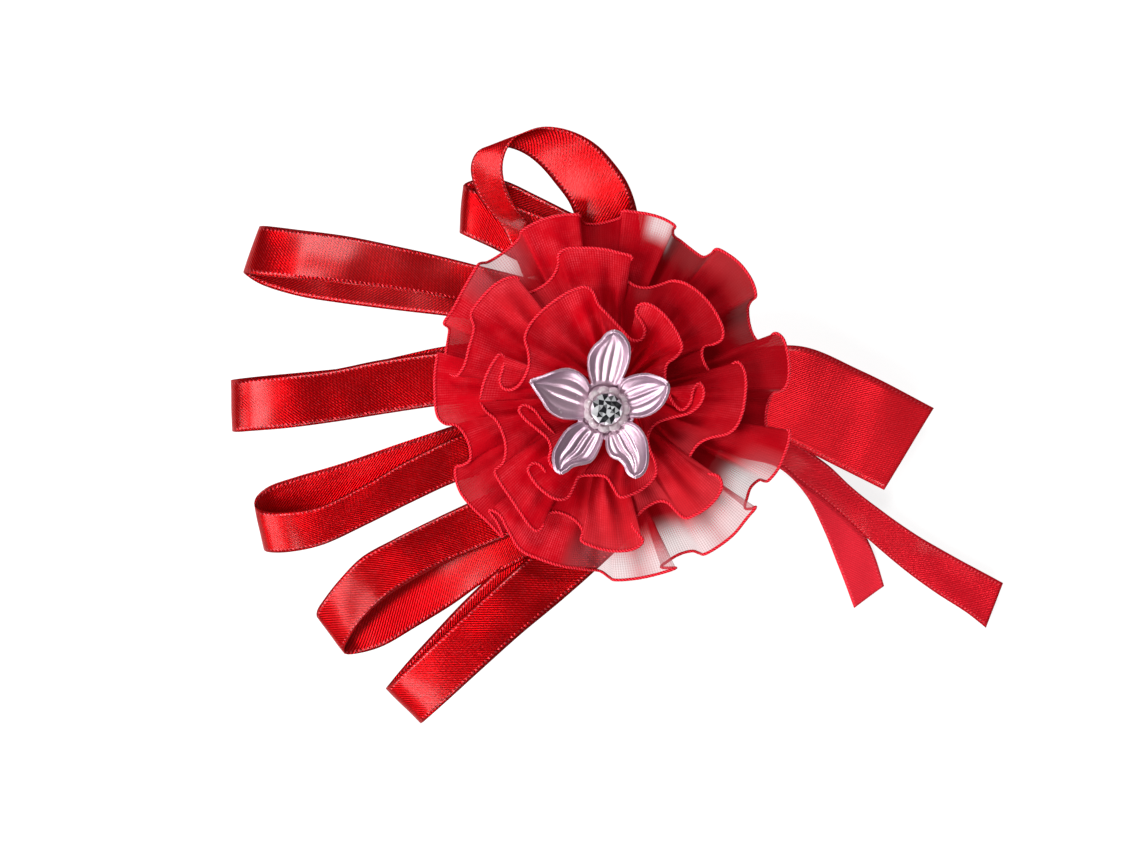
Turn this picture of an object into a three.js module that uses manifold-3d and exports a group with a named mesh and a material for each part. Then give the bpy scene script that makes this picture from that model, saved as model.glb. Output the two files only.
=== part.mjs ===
import * as THREE from 'three';
import { mergeVertices } from 'three/addons/utils/BufferGeometryUtils.js';
import Module from 'manifold-3d';

// Wrist corsage, in millimetres.
// +Z points out of the rosette's face and +X runs along the wrist towards the elbow.
// The origin is the centre of the backing's underside, the face that lies on the wrist.

// Rosette
const ROSETTE_TURN = -16.5;          // degrees from the wrist's axis to the rosette's own X axis
const ROSETTE_RADIUS = 42;           // nominal reach of the outer turn's edge
const SHEER_THICKNESS = 0.45;        // gathered organza, with its thread edge
const OUTER_BASE_RADIUS = 14;
const MIDDLE_BASE_RADIUS = 9;
const INNER_BASE_RADIUS = 5;
const OUTER_LOW = 0.9;               // lowest edge of the outer turn above the sewn ribbon
const OUTER_RISE = 6.4;              // height between its valleys and crests
const MIDDLE_BASE_LIFT = 2.4;        // step from one gathered seam up to the next
const INNER_BASE_LIFT = 4.2;
const MIDDLE_EDGE = 9.2;             // lowest edge of the middle turn above the sewn ribbon
const MIDDLE_RISE = 3.2;
const INNER_EDGE = 14.6;
const INNER_RISE = 2.6;
const CORE_TOP = 18.4;               // top of the gathered core above the sewn ribbon

// Backing
const FELT_RADIUS = 28;
const FELT_THICKNESS = 1.4;
const GAP = 0.3;                     // clearance between pieces that touch on the real object

// Satin ribbon of the loops and narrow tails
const SATIN_WIDTH = 12;
const SATIN_THICKNESS = 0.45;
const LOOP_GATHER_RADIUS = 22;       // stitched middle of the loops
const LOOP_HINGE_RADIUS = 50;        // where a loop bends, just outside the rosette
const LOOP_CREASE = 0.7;             // slit between a loop and its sewn part
const LOOP_RISE = 3.2;               // height of a loop's upper strand over its sewn part
const LOOP_DROP = 2.6;               // sag of its lower strand

// Wide ribbon round the wrist
const BAND_WIDTH = 25;
const BAND_THICKNESS = 0.5;
const WRIST_BREADTH = 54;
const WRIST_DEPTH = 42;
const BAND_SIDE_ROOM = 1.2;          // room between the wrist and the ribbon at its sides
const BAND_OVERLAP_SHARE = 0.2;      // part of the breadth over which the ribbon's ends overlap

// Knot and tails
const KNOT_ALONG = 8;                // knot centre from the rosette's axis, along the wrist
const KNOT_ACROSS = 1;
const KNOT_WIDTH = 11;
const KNOT_HEIGHT = 5.2;
const WRAP_THICKNESS = 0.9;          // two layers of the narrow ribbon round the wide one
const WRAP_ROOM = 0.6;               // room for the curve of the wide ribbon inside the wrap
const TAIL_STEP = 1.5;               // height between the tails where they leave the knot
const LONG_TAIL_LENGTH = 104;
const SHORT_TAIL_LENGTH = 72;
const WIDE_END_LENGTH = 72;

// Pearl flower and stone
const FLOWER_ACROSS = -1.6;          // flower centre in the rosette's own axes
const FLOWER_UP = -3.2;
const PETAL_THICKNESS = 1.1;
const PETAL_WIDTH = 11.0;
const PETAL_LENGTH = 17.6;
const PETAL_RISE = 3.6;
const PETAL_CUP = 1.5;               // height of a petal's long edges over its middle
const PETAL_FLUTE = 0.3;             // height of the ridges along a petal
const HUB_RADIUS = 6.4;
const HUB_HEIGHT = 3.2;
const CUP_RADIUS = 5.3;
const CUP_HEIGHT = 2.6;
const CUP_WALL = 1.1;
const STONE_RADIUS = 3.9;
const STONE_HEIGHT = 3.1;

// Colours
const SHEER_RED = 0xb5161f;
const SATIN_RED = 0xc3141c;
const FELT_RED = 0x8e1018;
const PEARL_WHITE = 0xf1ece6;
const CLEAR_GREY = 0xdfe5ea;

const wasm = await Module();
wasm.setup();

const radians = (degrees) => THREE.MathUtils.degToRad(degrees);
const polar = (degrees, radius, z) => new THREE.Vector3(
  Math.cos(radians(degrees)) * radius,
  Math.sin(radians(degrees)) * radius,
  z,
);

// A solid of one thickness over a grid of points, rows[i][j], with the border closed.
function sheet(rows, thickness) {
  const count = rows.length;
  const across = rows[0].length;
  const front = [];
  const back = [];
  const along = new THREE.Vector3();
  const side = new THREE.Vector3();
  for (let i = 0; i < count; i += 1) {
    for (let j = 0; j < across; j += 1) {
      const before = rows[Math.max(i - 1, 0)][j];
      const after = rows[Math.min(i + 1, count - 1)][j];
      const left = rows[i][Math.max(j - 1, 0)];
      const right = rows[i][Math.min(j + 1, across - 1)];
      along.subVectors(after, before);
      side.subVectors(right, left);
      const half = along.clone().cross(side).normalize().multiplyScalar(thickness / 2);
      front.push(rows[i][j].clone().add(half));
      back.push(rows[i][j].clone().sub(half));
    }
  }
  const positions = [...front, ...back].flatMap((p) => [p.x, p.y, p.z]);
  const offset = front.length;
  const at = (i, j) => i * across + j;
  const faces = [];
  const quad = (a, b, c, d) => faces.push(a, b, c, a, c, d);
  for (let i = 0; i < count - 1; i += 1) {
    for (let j = 0; j < across - 1; j += 1) {
      const a = at(i, j);
      const b = at(i + 1, j);
      const c = at(i + 1, j + 1);
      const d = at(i, j + 1);
      quad(a, b, c, d);
      quad(offset + d, offset + c, offset + b, offset + a);
    }
    const last = across - 1;
    quad(at(i, 0), offset + at(i, 0), offset + at(i + 1, 0), at(i + 1, 0));
    quad(at(i + 1, last), offset + at(i + 1, last), offset + at(i, last), at(i, last));
  }
  for (let j = 0; j < across - 1; j += 1) {
    const end = count - 1;
    quad(at(0, j + 1), offset + at(0, j + 1), offset + at(0, j), at(0, j));
    quad(at(end, j), offset + at(end, j), offset + at(end, j + 1), at(end, j + 1));
  }
  const geometry = new THREE.BufferGeometry();
  geometry.setAttribute('position', new THREE.Float32BufferAttribute(positions, 3));
  geometry.setIndex(faces);
  geometry.computeVertexNormals();
  return geometry;
}

// Points spread evenly along a smooth curve through the given ones.
function smooth(points, steps) {
  const curve = new THREE.CatmullRomCurve3(points, false, 'centripetal');
  return curve.getSpacedPoints(steps);
}

// A ribbon whose centre line and across vectors are both smoothed with the same steps.
function ribbon(centres, acrosses, thickness, steps, strips = 1) {
  const line = new THREE.CatmullRomCurve3(centres, false, 'centripetal');
  const wide = new THREE.CatmullRomCurve3(acrosses, false, 'catmullrom');
  const rows = [];
  for (let i = 0; i <= steps; i += 1) {
    const share = line.getUtoTmapping(i / steps);
    const centre = line.getPoint(share);
    const across = wide.getPoint(share);
    const row = [];
    for (let j = 0; j <= strips; j += 1) {
      row.push(centre.clone().addScaledVector(across, j / strips - 1 / 2));
    }
    rows.push(row);
  }
  return sheet(rows, thickness);
}

function toManifold(geometry) {
  const bare = geometry.clone();
  bare.deleteAttribute('normal');
  bare.deleteAttribute('uv');
  const merged = mergeVertices(bare);
  return new wasm.Manifold(new wasm.Mesh({
    numProp: 3,
    vertProperties: new Float32Array(merged.attributes.position.array),
    triVerts: new Uint32Array(merged.index.array),
  }));
}

function fromManifold(solid) {
  const mesh = solid.getMesh();
  const geometry = new THREE.BufferGeometry();
  geometry.setAttribute('position', new THREE.BufferAttribute(mesh.vertProperties, 3));
  geometry.setIndex(new THREE.BufferAttribute(mesh.triVerts, 1));
  geometry.computeVertexNormals();
  return geometry;
}

const group = new THREE.Group();
const rosette = new THREE.Group();
rosette.rotation.z = radians(ROSETTE_TURN);
group.add(rosette);

function add(parent, name, geometry, colour, roughness, metalness = 0) {
  const material = new THREE.MeshStandardMaterial({ color: colour, roughness, metalness });
  const mesh = new THREE.Mesh(geometry, material);
  mesh.name = name;
  parent.add(mesh);
  return mesh;
}

// Backing: two felt discs with the wide ribbon between them
const closingTop = FELT_THICKNESS;
const bandMiddle = closingTop + GAP + BAND_THICKNESS / 2;
const baseBottom = bandMiddle + BAND_THICKNESS / 2 + GAP;
const baseTop = baseBottom + FELT_THICKNESS;
const FELT_SIDES = 48;

function disc(radius, bottom, top) {
  const profile = [
    new THREE.Vector2(0, bottom),
    new THREE.Vector2(radius, bottom),
    new THREE.Vector2(radius, top),
    new THREE.Vector2(0, top),
  ];
  const geometry = new THREE.LatheGeometry(profile, FELT_SIDES);
  geometry.rotateX(radians(90));
  return geometry;
}
add(group, 'closing_felt', disc(FELT_RADIUS, 0, closingTop), FELT_RED, 0.95);
add(group, 'base_felt', disc(FELT_RADIUS, baseBottom, baseTop), FELT_RED, 0.95);

// Sewn middle of the loops: every strand lies flat on the felt and meets in one stitched layer
const lowerStrand = baseTop + GAP + SATIN_THICKNESS / 2;
const upperStrand = lowerStrand + SATIN_THICKNESS + GAP + SATIN_THICKNESS / 8;
const sewnTop = upperStrand + SATIN_THICKNESS / 2;

// Each loop: heading in degrees, distance of its centre line from the axis, its length past
// the bend, and how far its lower strand wanders sideways at the bend and half way out.
const satinLoops = [
  { heading: 168.7, sideShare: -0.395, reachShare: 2.08, rootShare: 0.07, bowShare: 0.15 },
  { heading: 187.3, sideShare: -0.212, reachShare: 2.04, rootShare: -0.08, bowShare: -0.12 },
  { heading: 198.9, sideShare: 0.057, reachShare: 2.03, rootShare: -0.38, bowShare: -0.72 },
  { heading: 212.2, sideShare: 0.179, reachShare: 1.95, rootShare: 0.44, bowShare: 0.55 },
  { heading: 223.0, sideShare: 0.452, reachShare: 1.95, rootShare: -0.17, bowShare: -0.22 },
];
// Profile of a loop: way out, height share of the rise or drop, and strand (1 upper, -1 lower)
const loopProfileShares = [
  [0, 0, 1], [0.25, 0.2, 1], [0.5, 0.55, 1], [0.75, 0.95, 1], [0.9, 0.95, 1], [0.975, 0.6, 1],
  [1, 0, 0],
  [0.975, 0.65, -1], [0.9, 0.95, -1], [0.72, 0.85, -1], [0.48, 0.5, -1], [0.25, 0.18, -1], [0, 0, -1],
];
const LOOP_STEPS = 32;

function loopAxes(heading) {
  return {
    out: polar(heading, 1, 0),
    side: polar(heading + 90, 1, 0),
  };
}

function loopSolid(loop, start, upper, lower, rise, drop) {
  const { out, side } = loopAxes(loop.heading);
  const reach = loop.reachShare * ROSETTE_RADIUS - start;
  const centres = [];
  const acrosses = [];
  for (const [wayOut, height, strand] of loopProfileShares) {
    let wander = 0;
    if (strand < 0) {
      const bow = Math.sin(wayOut * Math.PI) * (loop.bowShare - loop.rootShare / 2);
      wander = (loop.rootShare * (1 - wayOut) + bow) * SATIN_WIDTH;
    }
    const middle = (upper + lower + rise * 0.3 - drop * 0.3) / 2;
    const level = strand > 0 ? upper + height * rise : lower - height * drop;
    const z = strand === 0 ? middle : level;
    const centre = out.clone().multiplyScalar(start + wayOut * reach);
    centre.addScaledVector(side, loop.sideShare * ROSETTE_RADIUS + wander);
    centre.z = z;
    centres.push(centre);
    acrosses.push(side.clone().multiplyScalar(SATIN_WIDTH));
  }
  return ribbon(centres, acrosses, SATIN_THICKNESS, LOOP_STEPS);
}

// A flat strand from the stitched middle to the bend
function strandSolid(loop, end, level, wander) {
  const { out, side } = loopAxes(loop.heading);
  const near = out.clone().multiplyScalar(0);
  near.addScaledVector(side, Math.sign(loop.sideShare) * Math.min(
    Math.abs(loop.sideShare) * ROSETTE_RADIUS,
    LOOP_GATHER_RADIUS - SATIN_WIDTH / 2,
  ));
  const far = out.clone().multiplyScalar(end);
  far.addScaledVector(side, loop.sideShare * ROSETTE_RADIUS + wander);
  near.z = level;
  far.z = level;
  const across = side.clone().multiplyScalar(SATIN_WIDTH);
  return ribbon([near, far], [across, across], SATIN_THICKNESS, 2);
}

const bendOf = (loop) => Math.sqrt(
  LOOP_HINGE_RADIUS ** 2 - (loop.sideShare * ROSETTE_RADIUS) ** 2,
);

// The short loop at the top lies low and bends under the rosette's edge
const topLoop = {
  heading: 164, sideShare: -0.733, reachShare: 1.03, rootShare: 0, bowShare: 0, bendShare: 0.57,
};
// The curled loop: places as shares of the rosette radius, across vectors of the ribbon width
const curlShares = [
  [-0.016, 1.068, 0.125, 1.0, 0.15, 0.0],
  [-0.080, 1.130, 0.19, 0.94, 0.31, 0.10],
  [-0.150, 1.201, 0.275, 0.92, 0.33, 0.19],
  [-0.228, 1.281, 0.345, 0.90, 0.34, 0.27],
  [-0.313, 1.335, 0.395, 0.87, 0.33, 0.37],
  [-0.401, 1.364, 0.43, 0.82, 0.31, 0.48],
  [-0.483, 1.372, 0.45, 0.78, 0.26, 0.57],
  [-0.557, 1.359, 0.45, 0.74, 0.20, 0.64],
  [-0.619, 1.332, 0.435, 0.70, 0.14, 0.70],
  [-0.657, 1.280, 0.41, 0.66, 0.11, 0.74],
  [-0.671, 1.220, 0.38, 0.63, 0.08, 0.78],
  [-0.665, 1.158, 0.34, 0.59, 0.07, 0.80],
  [-0.637, 1.092, 0.29, 0.57, 0.07, 0.80],
  [-0.578, 1.030, 0.21, 0.55, 0.09, 0.50],
  [-0.482, 0.965, 0.125, 0.48, 0.10, 0.0],
];
const CURL_STEPS = 40;

function curlSolid() {
  const centres = curlShares.map(([x, y, z]) => new THREE.Vector3(x, y, z)
    .multiplyScalar(ROSETTE_RADIUS));
  const base = centres[0].z;
  const centresLifted = centres.map((p) => p.setZ(p.z - base + upperStrand));
  const acrosses = curlShares.map(([, , , x, y, z]) => new THREE.Vector3(x, y, z)
    .multiplyScalar(SATIN_WIDTH));
  return ribbon(centresLifted, acrosses, SATIN_THICKNESS, CURL_STEPS);
}

// Strand of the curled loop from the stitched middle, ending a crease short of its bend
function curlStrand(share) {
  const [x, y, , ax, ay] = share;
  const end = new THREE.Vector3(x, y, 0).multiplyScalar(ROSETTE_RADIUS);
  const room = end.clone().normalize().multiplyScalar(LOOP_CREASE);
  end.sub(room);
  end.z = upperStrand;
  const start = end.clone().multiplyScalar(1 / 2);
  start.z = upperStrand;
  const across = new THREE.Vector3(ax, ay, 0).multiplyScalar(SATIN_WIDTH);
  return ribbon([start, end], [across, across], SATIN_THICKNESS, 2);
}

const topBend = topLoop.bendShare * ROSETTE_RADIUS;
let sewn = toManifold(disc(LOOP_GATHER_RADIUS, lowerStrand - SATIN_THICKNESS / 2, sewnTop));
for (const loop of satinLoops) {
  const end = bendOf(loop) - LOOP_CREASE;
  sewn = sewn.add(toManifold(strandSolid(loop, end, upperStrand, 0)));
  sewn = sewn.add(toManifold(strandSolid(loop, end, lowerStrand, loop.rootShare * SATIN_WIDTH)));
}
sewn = sewn.add(toManifold(strandSolid(topLoop, topBend - LOOP_CREASE, lowerStrand, 0)));
sewn = sewn.add(toManifold(curlStrand(curlShares[0])));
sewn = sewn.add(toManifold(curlStrand(curlShares[curlShares.length - 1])));
add(rosette, 'sewn_loops', fromManifold(sewn), SATIN_RED, 0.4);

satinLoops.forEach((loop, index) => {
  const bend = bendOf(loop);
  const solid = loopSolid(loop, bend, upperStrand, lowerStrand, LOOP_RISE, LOOP_DROP);
  add(rosette, `satin_loop_${index + 1}`, solid, SATIN_RED, 0.4);
});
const underStrand = lowerStrand - SATIN_THICKNESS - GAP;
add(rosette, 'top_loop', loopSolid(
  topLoop, topBend, lowerStrand, underStrand, 0, LOOP_DROP,
), SATIN_RED, 0.4);
add(rosette, 'curl_loop', curlSolid(), SATIN_RED, 0.4);

// Gathered organza turns. Each lobe of an edge: start and end angle, reach share, height share,
// and the reach share of the tuck that follows it.
const outerLobeShares = [
  [166, 188, 0.965, 1, 0.82],
  [206, 229, 0.968, 0.08, 0.905],
  [230, 252, 0.966, 1, 0.945],
  [257, 266, 0.945, 0.1, 0.955],
  [270, 289, 0.996, 1, 0.95],
  [291, 297, 0.935, 0, 0.945],
  [300, 321, 0.99, 1, 0.93],
  [324, 330, 0.90, 0, 0.925],
  [332, 348, 0.982, 1, 0.88],
  [351, 359, 0.842, 0, 0.86],
  [362, 380, 0.97, 1, 0.87],
  [384, 391, 0.845, 0, 0.87],
  [395, 413, 0.99, 1, 0.92],
  [418, 426, 0.905, 0, 0.92],
  [430, 447, 0.998, 1, 0.955],
  [450, 457, 0.938, 0, 0.95],
  [460, 479, 1.018, 1, 0.98],
  [483, 491, 0.975, 0, 0.98],
  [494, 516, 0.992, 1, 0.95],
  [519, 525, 0.93, 0, 0.93],
];
const middleLobeShares = [
  [166, 183, 0.70, 0.6, 0.66],
  [190, 204, 0.628, 0.1, 0.66],
  [214, 240, 0.80, 1, 0.73],
  [245, 253, 0.69, 0.1, 0.72],
  [259, 281, 0.835, 0.9, 0.72],
  [284, 295, 0.63, 0, 0.66],
  [301, 322, 0.785, 1, 0.66],
  [320, 332, 0.54, 0.1, 0.58],
  [343, 373, 0.72, 0.9, 0.62],
  [374, 384, 0.54, 0, 0.58],
  [389, 421, 0.725, 1, 0.67],
  [428, 438, 0.612, 0.1, 0.64],
  [446, 469, 0.81, 0.9, 0.76],
  [475, 485, 0.705, 0.1, 0.74],
  [491, 511, 0.87, 1, 0.83],
  [515, 522, 0.80, 0.2, 0.74],
];
const innerLobeShares = [
  [186, 194, 0.50, 0.8, 0.45],
  [204, 214, 0.42, 0.1, 0.46],
  [224, 245, 0.60, 1, 0.52],
  [250, 260, 0.445, 0.1, 0.46],
  [270, 298, 0.54, 0.9, 0.42],
  [308, 326, 0.315, 0, 0.34],
  [346, 367, 0.485, 0.8, 0.38],
  [368, 382, 0.315, 0, 0.33],
  [393, 431, 0.50, 1, 0.42],
  [432, 441, 0.345, 0.1, 0.39],
  [456, 478, 0.59, 0.9, 0.585],
  [486, 500, 0.595, 0.7, 0.55],
  [508, 518, 0.49, 0.3, 0.48],
  [526, 538, 0.55, 0.8, 0.5],
];
const BULGE_SHARE = 0.012;           // how far a lobe's middle stands out past its ends
const COLUMNS_PER_LOBE = 6;
const ROWS = 3;

// The edge passes each lobe's start, middle and end, then the tuck before the next lobe.
function lobeEdge(lobes, edge, rise) {
  const points = [];
  const push = (degrees, reach, height) => {
    points.push(polar(degrees, reach * ROSETTE_RADIUS, edge + height * rise));
  };
  lobes.forEach(([start, end, reach, height, tuck], index) => {
    push(start, reach, height);
    push((start + end) / 2, reach + BULGE_SHARE, height);
    push(end, reach, height);
    if (index < lobes.length - 1) {
      const next = lobes[index + 1];
      push((end + next[0]) / 2, tuck, (height + next[3]) / 2);
    }
  });
  return points;
}

function turnSolid(lobes, baseRadius, base, edge, rise) {
  const steps = lobes.length * COLUMNS_PER_LOBE;
  const line = smooth(lobeEdge(lobes, edge, rise), steps);
  const first = lobes[0][0];
  const last = lobes[lobes.length - 1][1];
  const rows = line.map((tip, i) => {
    const foot = polar(first + ((last - first) * i) / steps, baseRadius, base);
    const row = [];
    for (let j = 0; j <= ROWS; j += 1) {
      row.push(foot.clone().lerp(tip, j / ROWS));
    }
    return row;
  });
  return sheet(rows, SHEER_THICKNESS);
}

const outerBase = sewnTop + GAP + SHEER_THICKNESS;
const middleBase = outerBase + MIDDLE_BASE_LIFT;
const innerBase = outerBase + INNER_BASE_LIFT;
add(rosette, 'outer_turn', turnSolid(
  outerLobeShares, OUTER_BASE_RADIUS, outerBase, sewnTop + OUTER_LOW, OUTER_RISE,
), SHEER_RED, 0.55);
add(rosette, 'middle_turn', turnSolid(
  middleLobeShares, MIDDLE_BASE_RADIUS, middleBase, sewnTop + MIDDLE_EDGE, MIDDLE_RISE,
), SHEER_RED, 0.55);
add(rosette, 'inner_turn', turnSolid(
  innerLobeShares, INNER_BASE_RADIUS, innerBase, sewnTop + INNER_EDGE, INNER_RISE,
), SHEER_RED, 0.55);

// Gathered core: the bound seams that the three turns stand round
const coreTop = sewnTop + CORE_TOP;
const seamRoom = GAP + SHEER_THICKNESS;
const CORE_SIDES = 24;
const coreProfile = [
  new THREE.Vector2(0, sewnTop + GAP),
  new THREE.Vector2(OUTER_BASE_RADIUS - seamRoom, sewnTop + GAP),
  new THREE.Vector2(OUTER_BASE_RADIUS - seamRoom, outerBase + SHEER_THICKNESS),
  new THREE.Vector2(MIDDLE_BASE_RADIUS - seamRoom, outerBase + MIDDLE_BASE_LIFT / 2),
  new THREE.Vector2(MIDDLE_BASE_RADIUS - seamRoom, middleBase + SHEER_THICKNESS),
  new THREE.Vector2(INNER_BASE_RADIUS - seamRoom, innerBase - seamRoom),
  new THREE.Vector2(INNER_BASE_RADIUS - seamRoom, coreTop),
  new THREE.Vector2(0, coreTop),
];
const core = new THREE.LatheGeometry(coreProfile, CORE_SIDES);
core.rotateX(radians(90));
add(rosette, 'gathered_core', core, SHEER_RED, 0.6);

// Pearl flower: five fluted petals joined to a cupped hub
const hubBottom = coreTop + GAP;
const petalShares = [
  { heading: 88, lengthShare: 1.0, widthShare: 0.92, curlShare: 0.5 },
  { heading: 158, lengthShare: 1.0, widthShare: 1.0, curlShare: 0.9 },
  { heading: 231, lengthShare: 0.98, widthShare: 1.0, curlShare: 0.6 },
  { heading: 296, lengthShare: 0.93, widthShare: 0.95, curlShare: 0.4 },
  { heading: 26, lengthShare: 0.88, widthShare: 0.98, curlShare: 0.8 },
];
// Along a petal: way out, width share, height share
const petalOutlineShares = [
  [0.1, 0.42, 0.25], [0.28, 0.62, 0.4], [0.44, 0.88, 0.62], [0.58, 1.0, 0.85],
  [0.72, 0.92, 1.0], [0.84, 0.64, 1.0], [0.94, 0.3, 0.88], [1, 0.1, 0.7],
];
const PETAL_STEPS = 12;
const PETAL_RIDGES = 5;
const PETAL_STRIPS = 2 * (PETAL_RIDGES - 1);

function petalSolid(petal) {
  const out = polar(petal.heading, 1, 0);
  const side = polar(petal.heading + 90, 1, 0);
  const line = new THREE.CatmullRomCurve3(petalOutlineShares.map(
    ([wayOut, width, height]) => new THREE.Vector3(wayOut, width, height),
  ));
  const rows = line.getPoints(PETAL_STEPS).map((share) => {
    const row = [];
    for (let j = 0; j <= PETAL_STRIPS; j += 1) {
      const place = (2 * j) / PETAL_STRIPS - 1;
      const halfWidth = (share.y * petal.widthShare * PETAL_WIDTH) / 2;
      const cup = PETAL_CUP * (place * place) * share.x;
      const flute = PETAL_FLUTE * Math.cos(place * Math.PI * (PETAL_RIDGES - 1)) * share.y;
      const curl = -petal.curlShare * place * share.x * PETAL_CUP;
      const point = out.clone().multiplyScalar(share.x * petal.lengthShare * PETAL_LENGTH);
      point.addScaledVector(side, place * halfWidth);
      point.z = hubBottom + PETAL_THICKNESS + share.z * PETAL_RISE + cup + flute + curl / 2;
      row.push(point);
    }
    return row;
  });
  return sheet(rows, PETAL_THICKNESS);
}

const HUB_SIDES = 32;
const hubTop = hubBottom + HUB_HEIGHT;
const seatFloor = hubTop - HUB_HEIGHT / 4;
const hubProfile = [
  new THREE.Vector2(0, hubBottom),
  new THREE.Vector2(HUB_RADIUS * 0.6, hubBottom),
  new THREE.Vector2(HUB_RADIUS, hubTop),
  new THREE.Vector2(CUP_RADIUS + GAP, hubTop),
  new THREE.Vector2(CUP_RADIUS + GAP, seatFloor),
  new THREE.Vector2(0, seatFloor),
];
const hub = new THREE.LatheGeometry(hubProfile, HUB_SIDES);
hub.rotateX(radians(90));
const seat = disc(CUP_RADIUS + GAP, seatFloor, hubTop + PETAL_RISE + PETAL_CUP);
let flower = toManifold(hub);
for (const petal of petalShares) {
  flower = flower.add(toManifold(petalSolid(petal)).subtract(toManifold(seat)));
}
const flowerPlace = new THREE.Group();
flowerPlace.position.set(FLOWER_ACROSS, FLOWER_UP, 0);
rosette.add(flowerPlace);
add(flowerPlace, 'pearl_flower', fromManifold(flower), PEARL_WHITE, 0.25);

// Stone cup and stone
const cupBottom = seatFloor + GAP;
const cupTop = cupBottom + CUP_HEIGHT;
const stoneSeat = cupBottom + CUP_WALL;
const cupProfile = [
  new THREE.Vector2(0, cupBottom),
  new THREE.Vector2(CUP_RADIUS, cupBottom),
  new THREE.Vector2(CUP_RADIUS, cupTop - CUP_WALL / 2),
  new THREE.Vector2(CUP_RADIUS - CUP_WALL / 2, cupTop),
  new THREE.Vector2(STONE_RADIUS + GAP, cupTop),
  new THREE.Vector2(STONE_RADIUS + GAP, stoneSeat + CUP_WALL / 2),
  new THREE.Vector2(0, stoneSeat),
];
const cup = new THREE.LatheGeometry(cupProfile, HUB_SIDES);
cup.rotateX(radians(90));
add(flowerPlace, 'stone_cup', cup, CLEAR_GREY, 0.1);

// The stone is cut: a pointed back, a girdle and a flat table with sloping facets
const STONE_FACETS = 12;
const TABLE_SHARE = 0.56;
const stoneBottom = stoneSeat + GAP + CUP_WALL / 2;
const stoneProfile = [
  new THREE.Vector2(0, stoneBottom),
  new THREE.Vector2(STONE_RADIUS * TABLE_SHARE, stoneBottom),
  new THREE.Vector2(STONE_RADIUS, stoneBottom + STONE_HEIGHT * 0.45),
  new THREE.Vector2(STONE_RADIUS, stoneBottom + STONE_HEIGHT * 0.55),
  new THREE.Vector2(STONE_RADIUS * TABLE_SHARE, stoneBottom + STONE_HEIGHT),
  new THREE.Vector2(0, stoneBottom + STONE_HEIGHT),
];
const stone = new THREE.LatheGeometry(stoneProfile, STONE_FACETS);
stone.rotateX(radians(90));
add(flowerPlace, 'rhinestone', stone, CLEAR_GREY, 0.02);

// Wide ribbon: flat between the felts, down both sides, overlapped under the wrist
const sideReach = WRIST_BREADTH / 2 + BAND_SIDE_ROOM;
const bandBottom = -WRIST_DEPTH - BAND_THICKNESS;
const overlap = WRIST_BREADTH * BAND_OVERLAP_SHARE;
const layer = BAND_THICKNESS + GAP;
const bandPath = [
  [overlap, bandBottom + WRIST_DEPTH * 0.02],
  [0, bandBottom],
  [-sideReach * 0.5, bandBottom + WRIST_DEPTH * 0.07],
  [-sideReach * 0.86, bandBottom + WRIST_DEPTH * 0.25],
  [-sideReach, -WRIST_DEPTH / 2],
  [-sideReach - layer, -WRIST_DEPTH / 4],
  [-FELT_RADIUS - layer * 2, -FELT_THICKNESS],
  [-FELT_RADIUS - GAP, bandMiddle],
  [-FELT_RADIUS + FELT_THICKNESS, bandMiddle],
  [0, bandMiddle],
  [FELT_RADIUS - FELT_THICKNESS, bandMiddle],
  [FELT_RADIUS + GAP, bandMiddle],
  [FELT_RADIUS + layer * 2, -FELT_THICKNESS],
  [sideReach + layer, -WRIST_DEPTH / 4],
  [sideReach, -WRIST_DEPTH / 2],
  [sideReach * 0.86, bandBottom + WRIST_DEPTH * 0.25 - layer],
  [sideReach * 0.5, bandBottom + WRIST_DEPTH * 0.07 - layer],
  [0, bandBottom - layer],
  [-overlap, bandBottom + WRIST_DEPTH * 0.02 - layer],
];
const BAND_STEPS = 72;
const bandCentres = bandPath.map(([y, z]) => new THREE.Vector3(0, y, z));
const bandAcross = bandCentres.map(() => new THREE.Vector3(BAND_WIDTH, 0, 0));
add(group, 'wrist_ribbon', ribbon(
  bandCentres, bandAcross, BAND_THICKNESS, BAND_STEPS,
), SATIN_RED, 0.4);

// Narrow ribbon wrapped round the overlap, as a flat ring
const wrapTop = bandBottom + BAND_THICKNESS / 2 + WRAP_ROOM;
const wrapBottom = bandBottom - layer - BAND_THICKNESS / 2 - GAP;
const wrapHalf = BAND_WIDTH / 2 + GAP;
const WRAP_WIDTH = SATIN_WIDTH * 0.7;

function flatRing(half, top, bottom) {
  const shape = new THREE.Shape();
  shape.moveTo(-half, bottom);
  shape.lineTo(half, bottom);
  shape.lineTo(half, top);
  shape.lineTo(-half, top);
  shape.closePath();
  return shape;
}
const wrapShape = flatRing(wrapHalf + WRAP_THICKNESS, wrapTop + WRAP_THICKNESS, wrapBottom - WRAP_THICKNESS);
wrapShape.holes.push(flatRing(wrapHalf, wrapTop, wrapBottom));
const wrap = new THREE.ExtrudeGeometry(wrapShape, { depth: WRAP_WIDTH, bevelEnabled: false, steps: 1 });
wrap.rotateX(radians(90));
wrap.translate(0, WRAP_WIDTH / 2, 0);
add(group, 'knot_wrap', wrap, SATIN_RED, 0.4);

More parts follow.
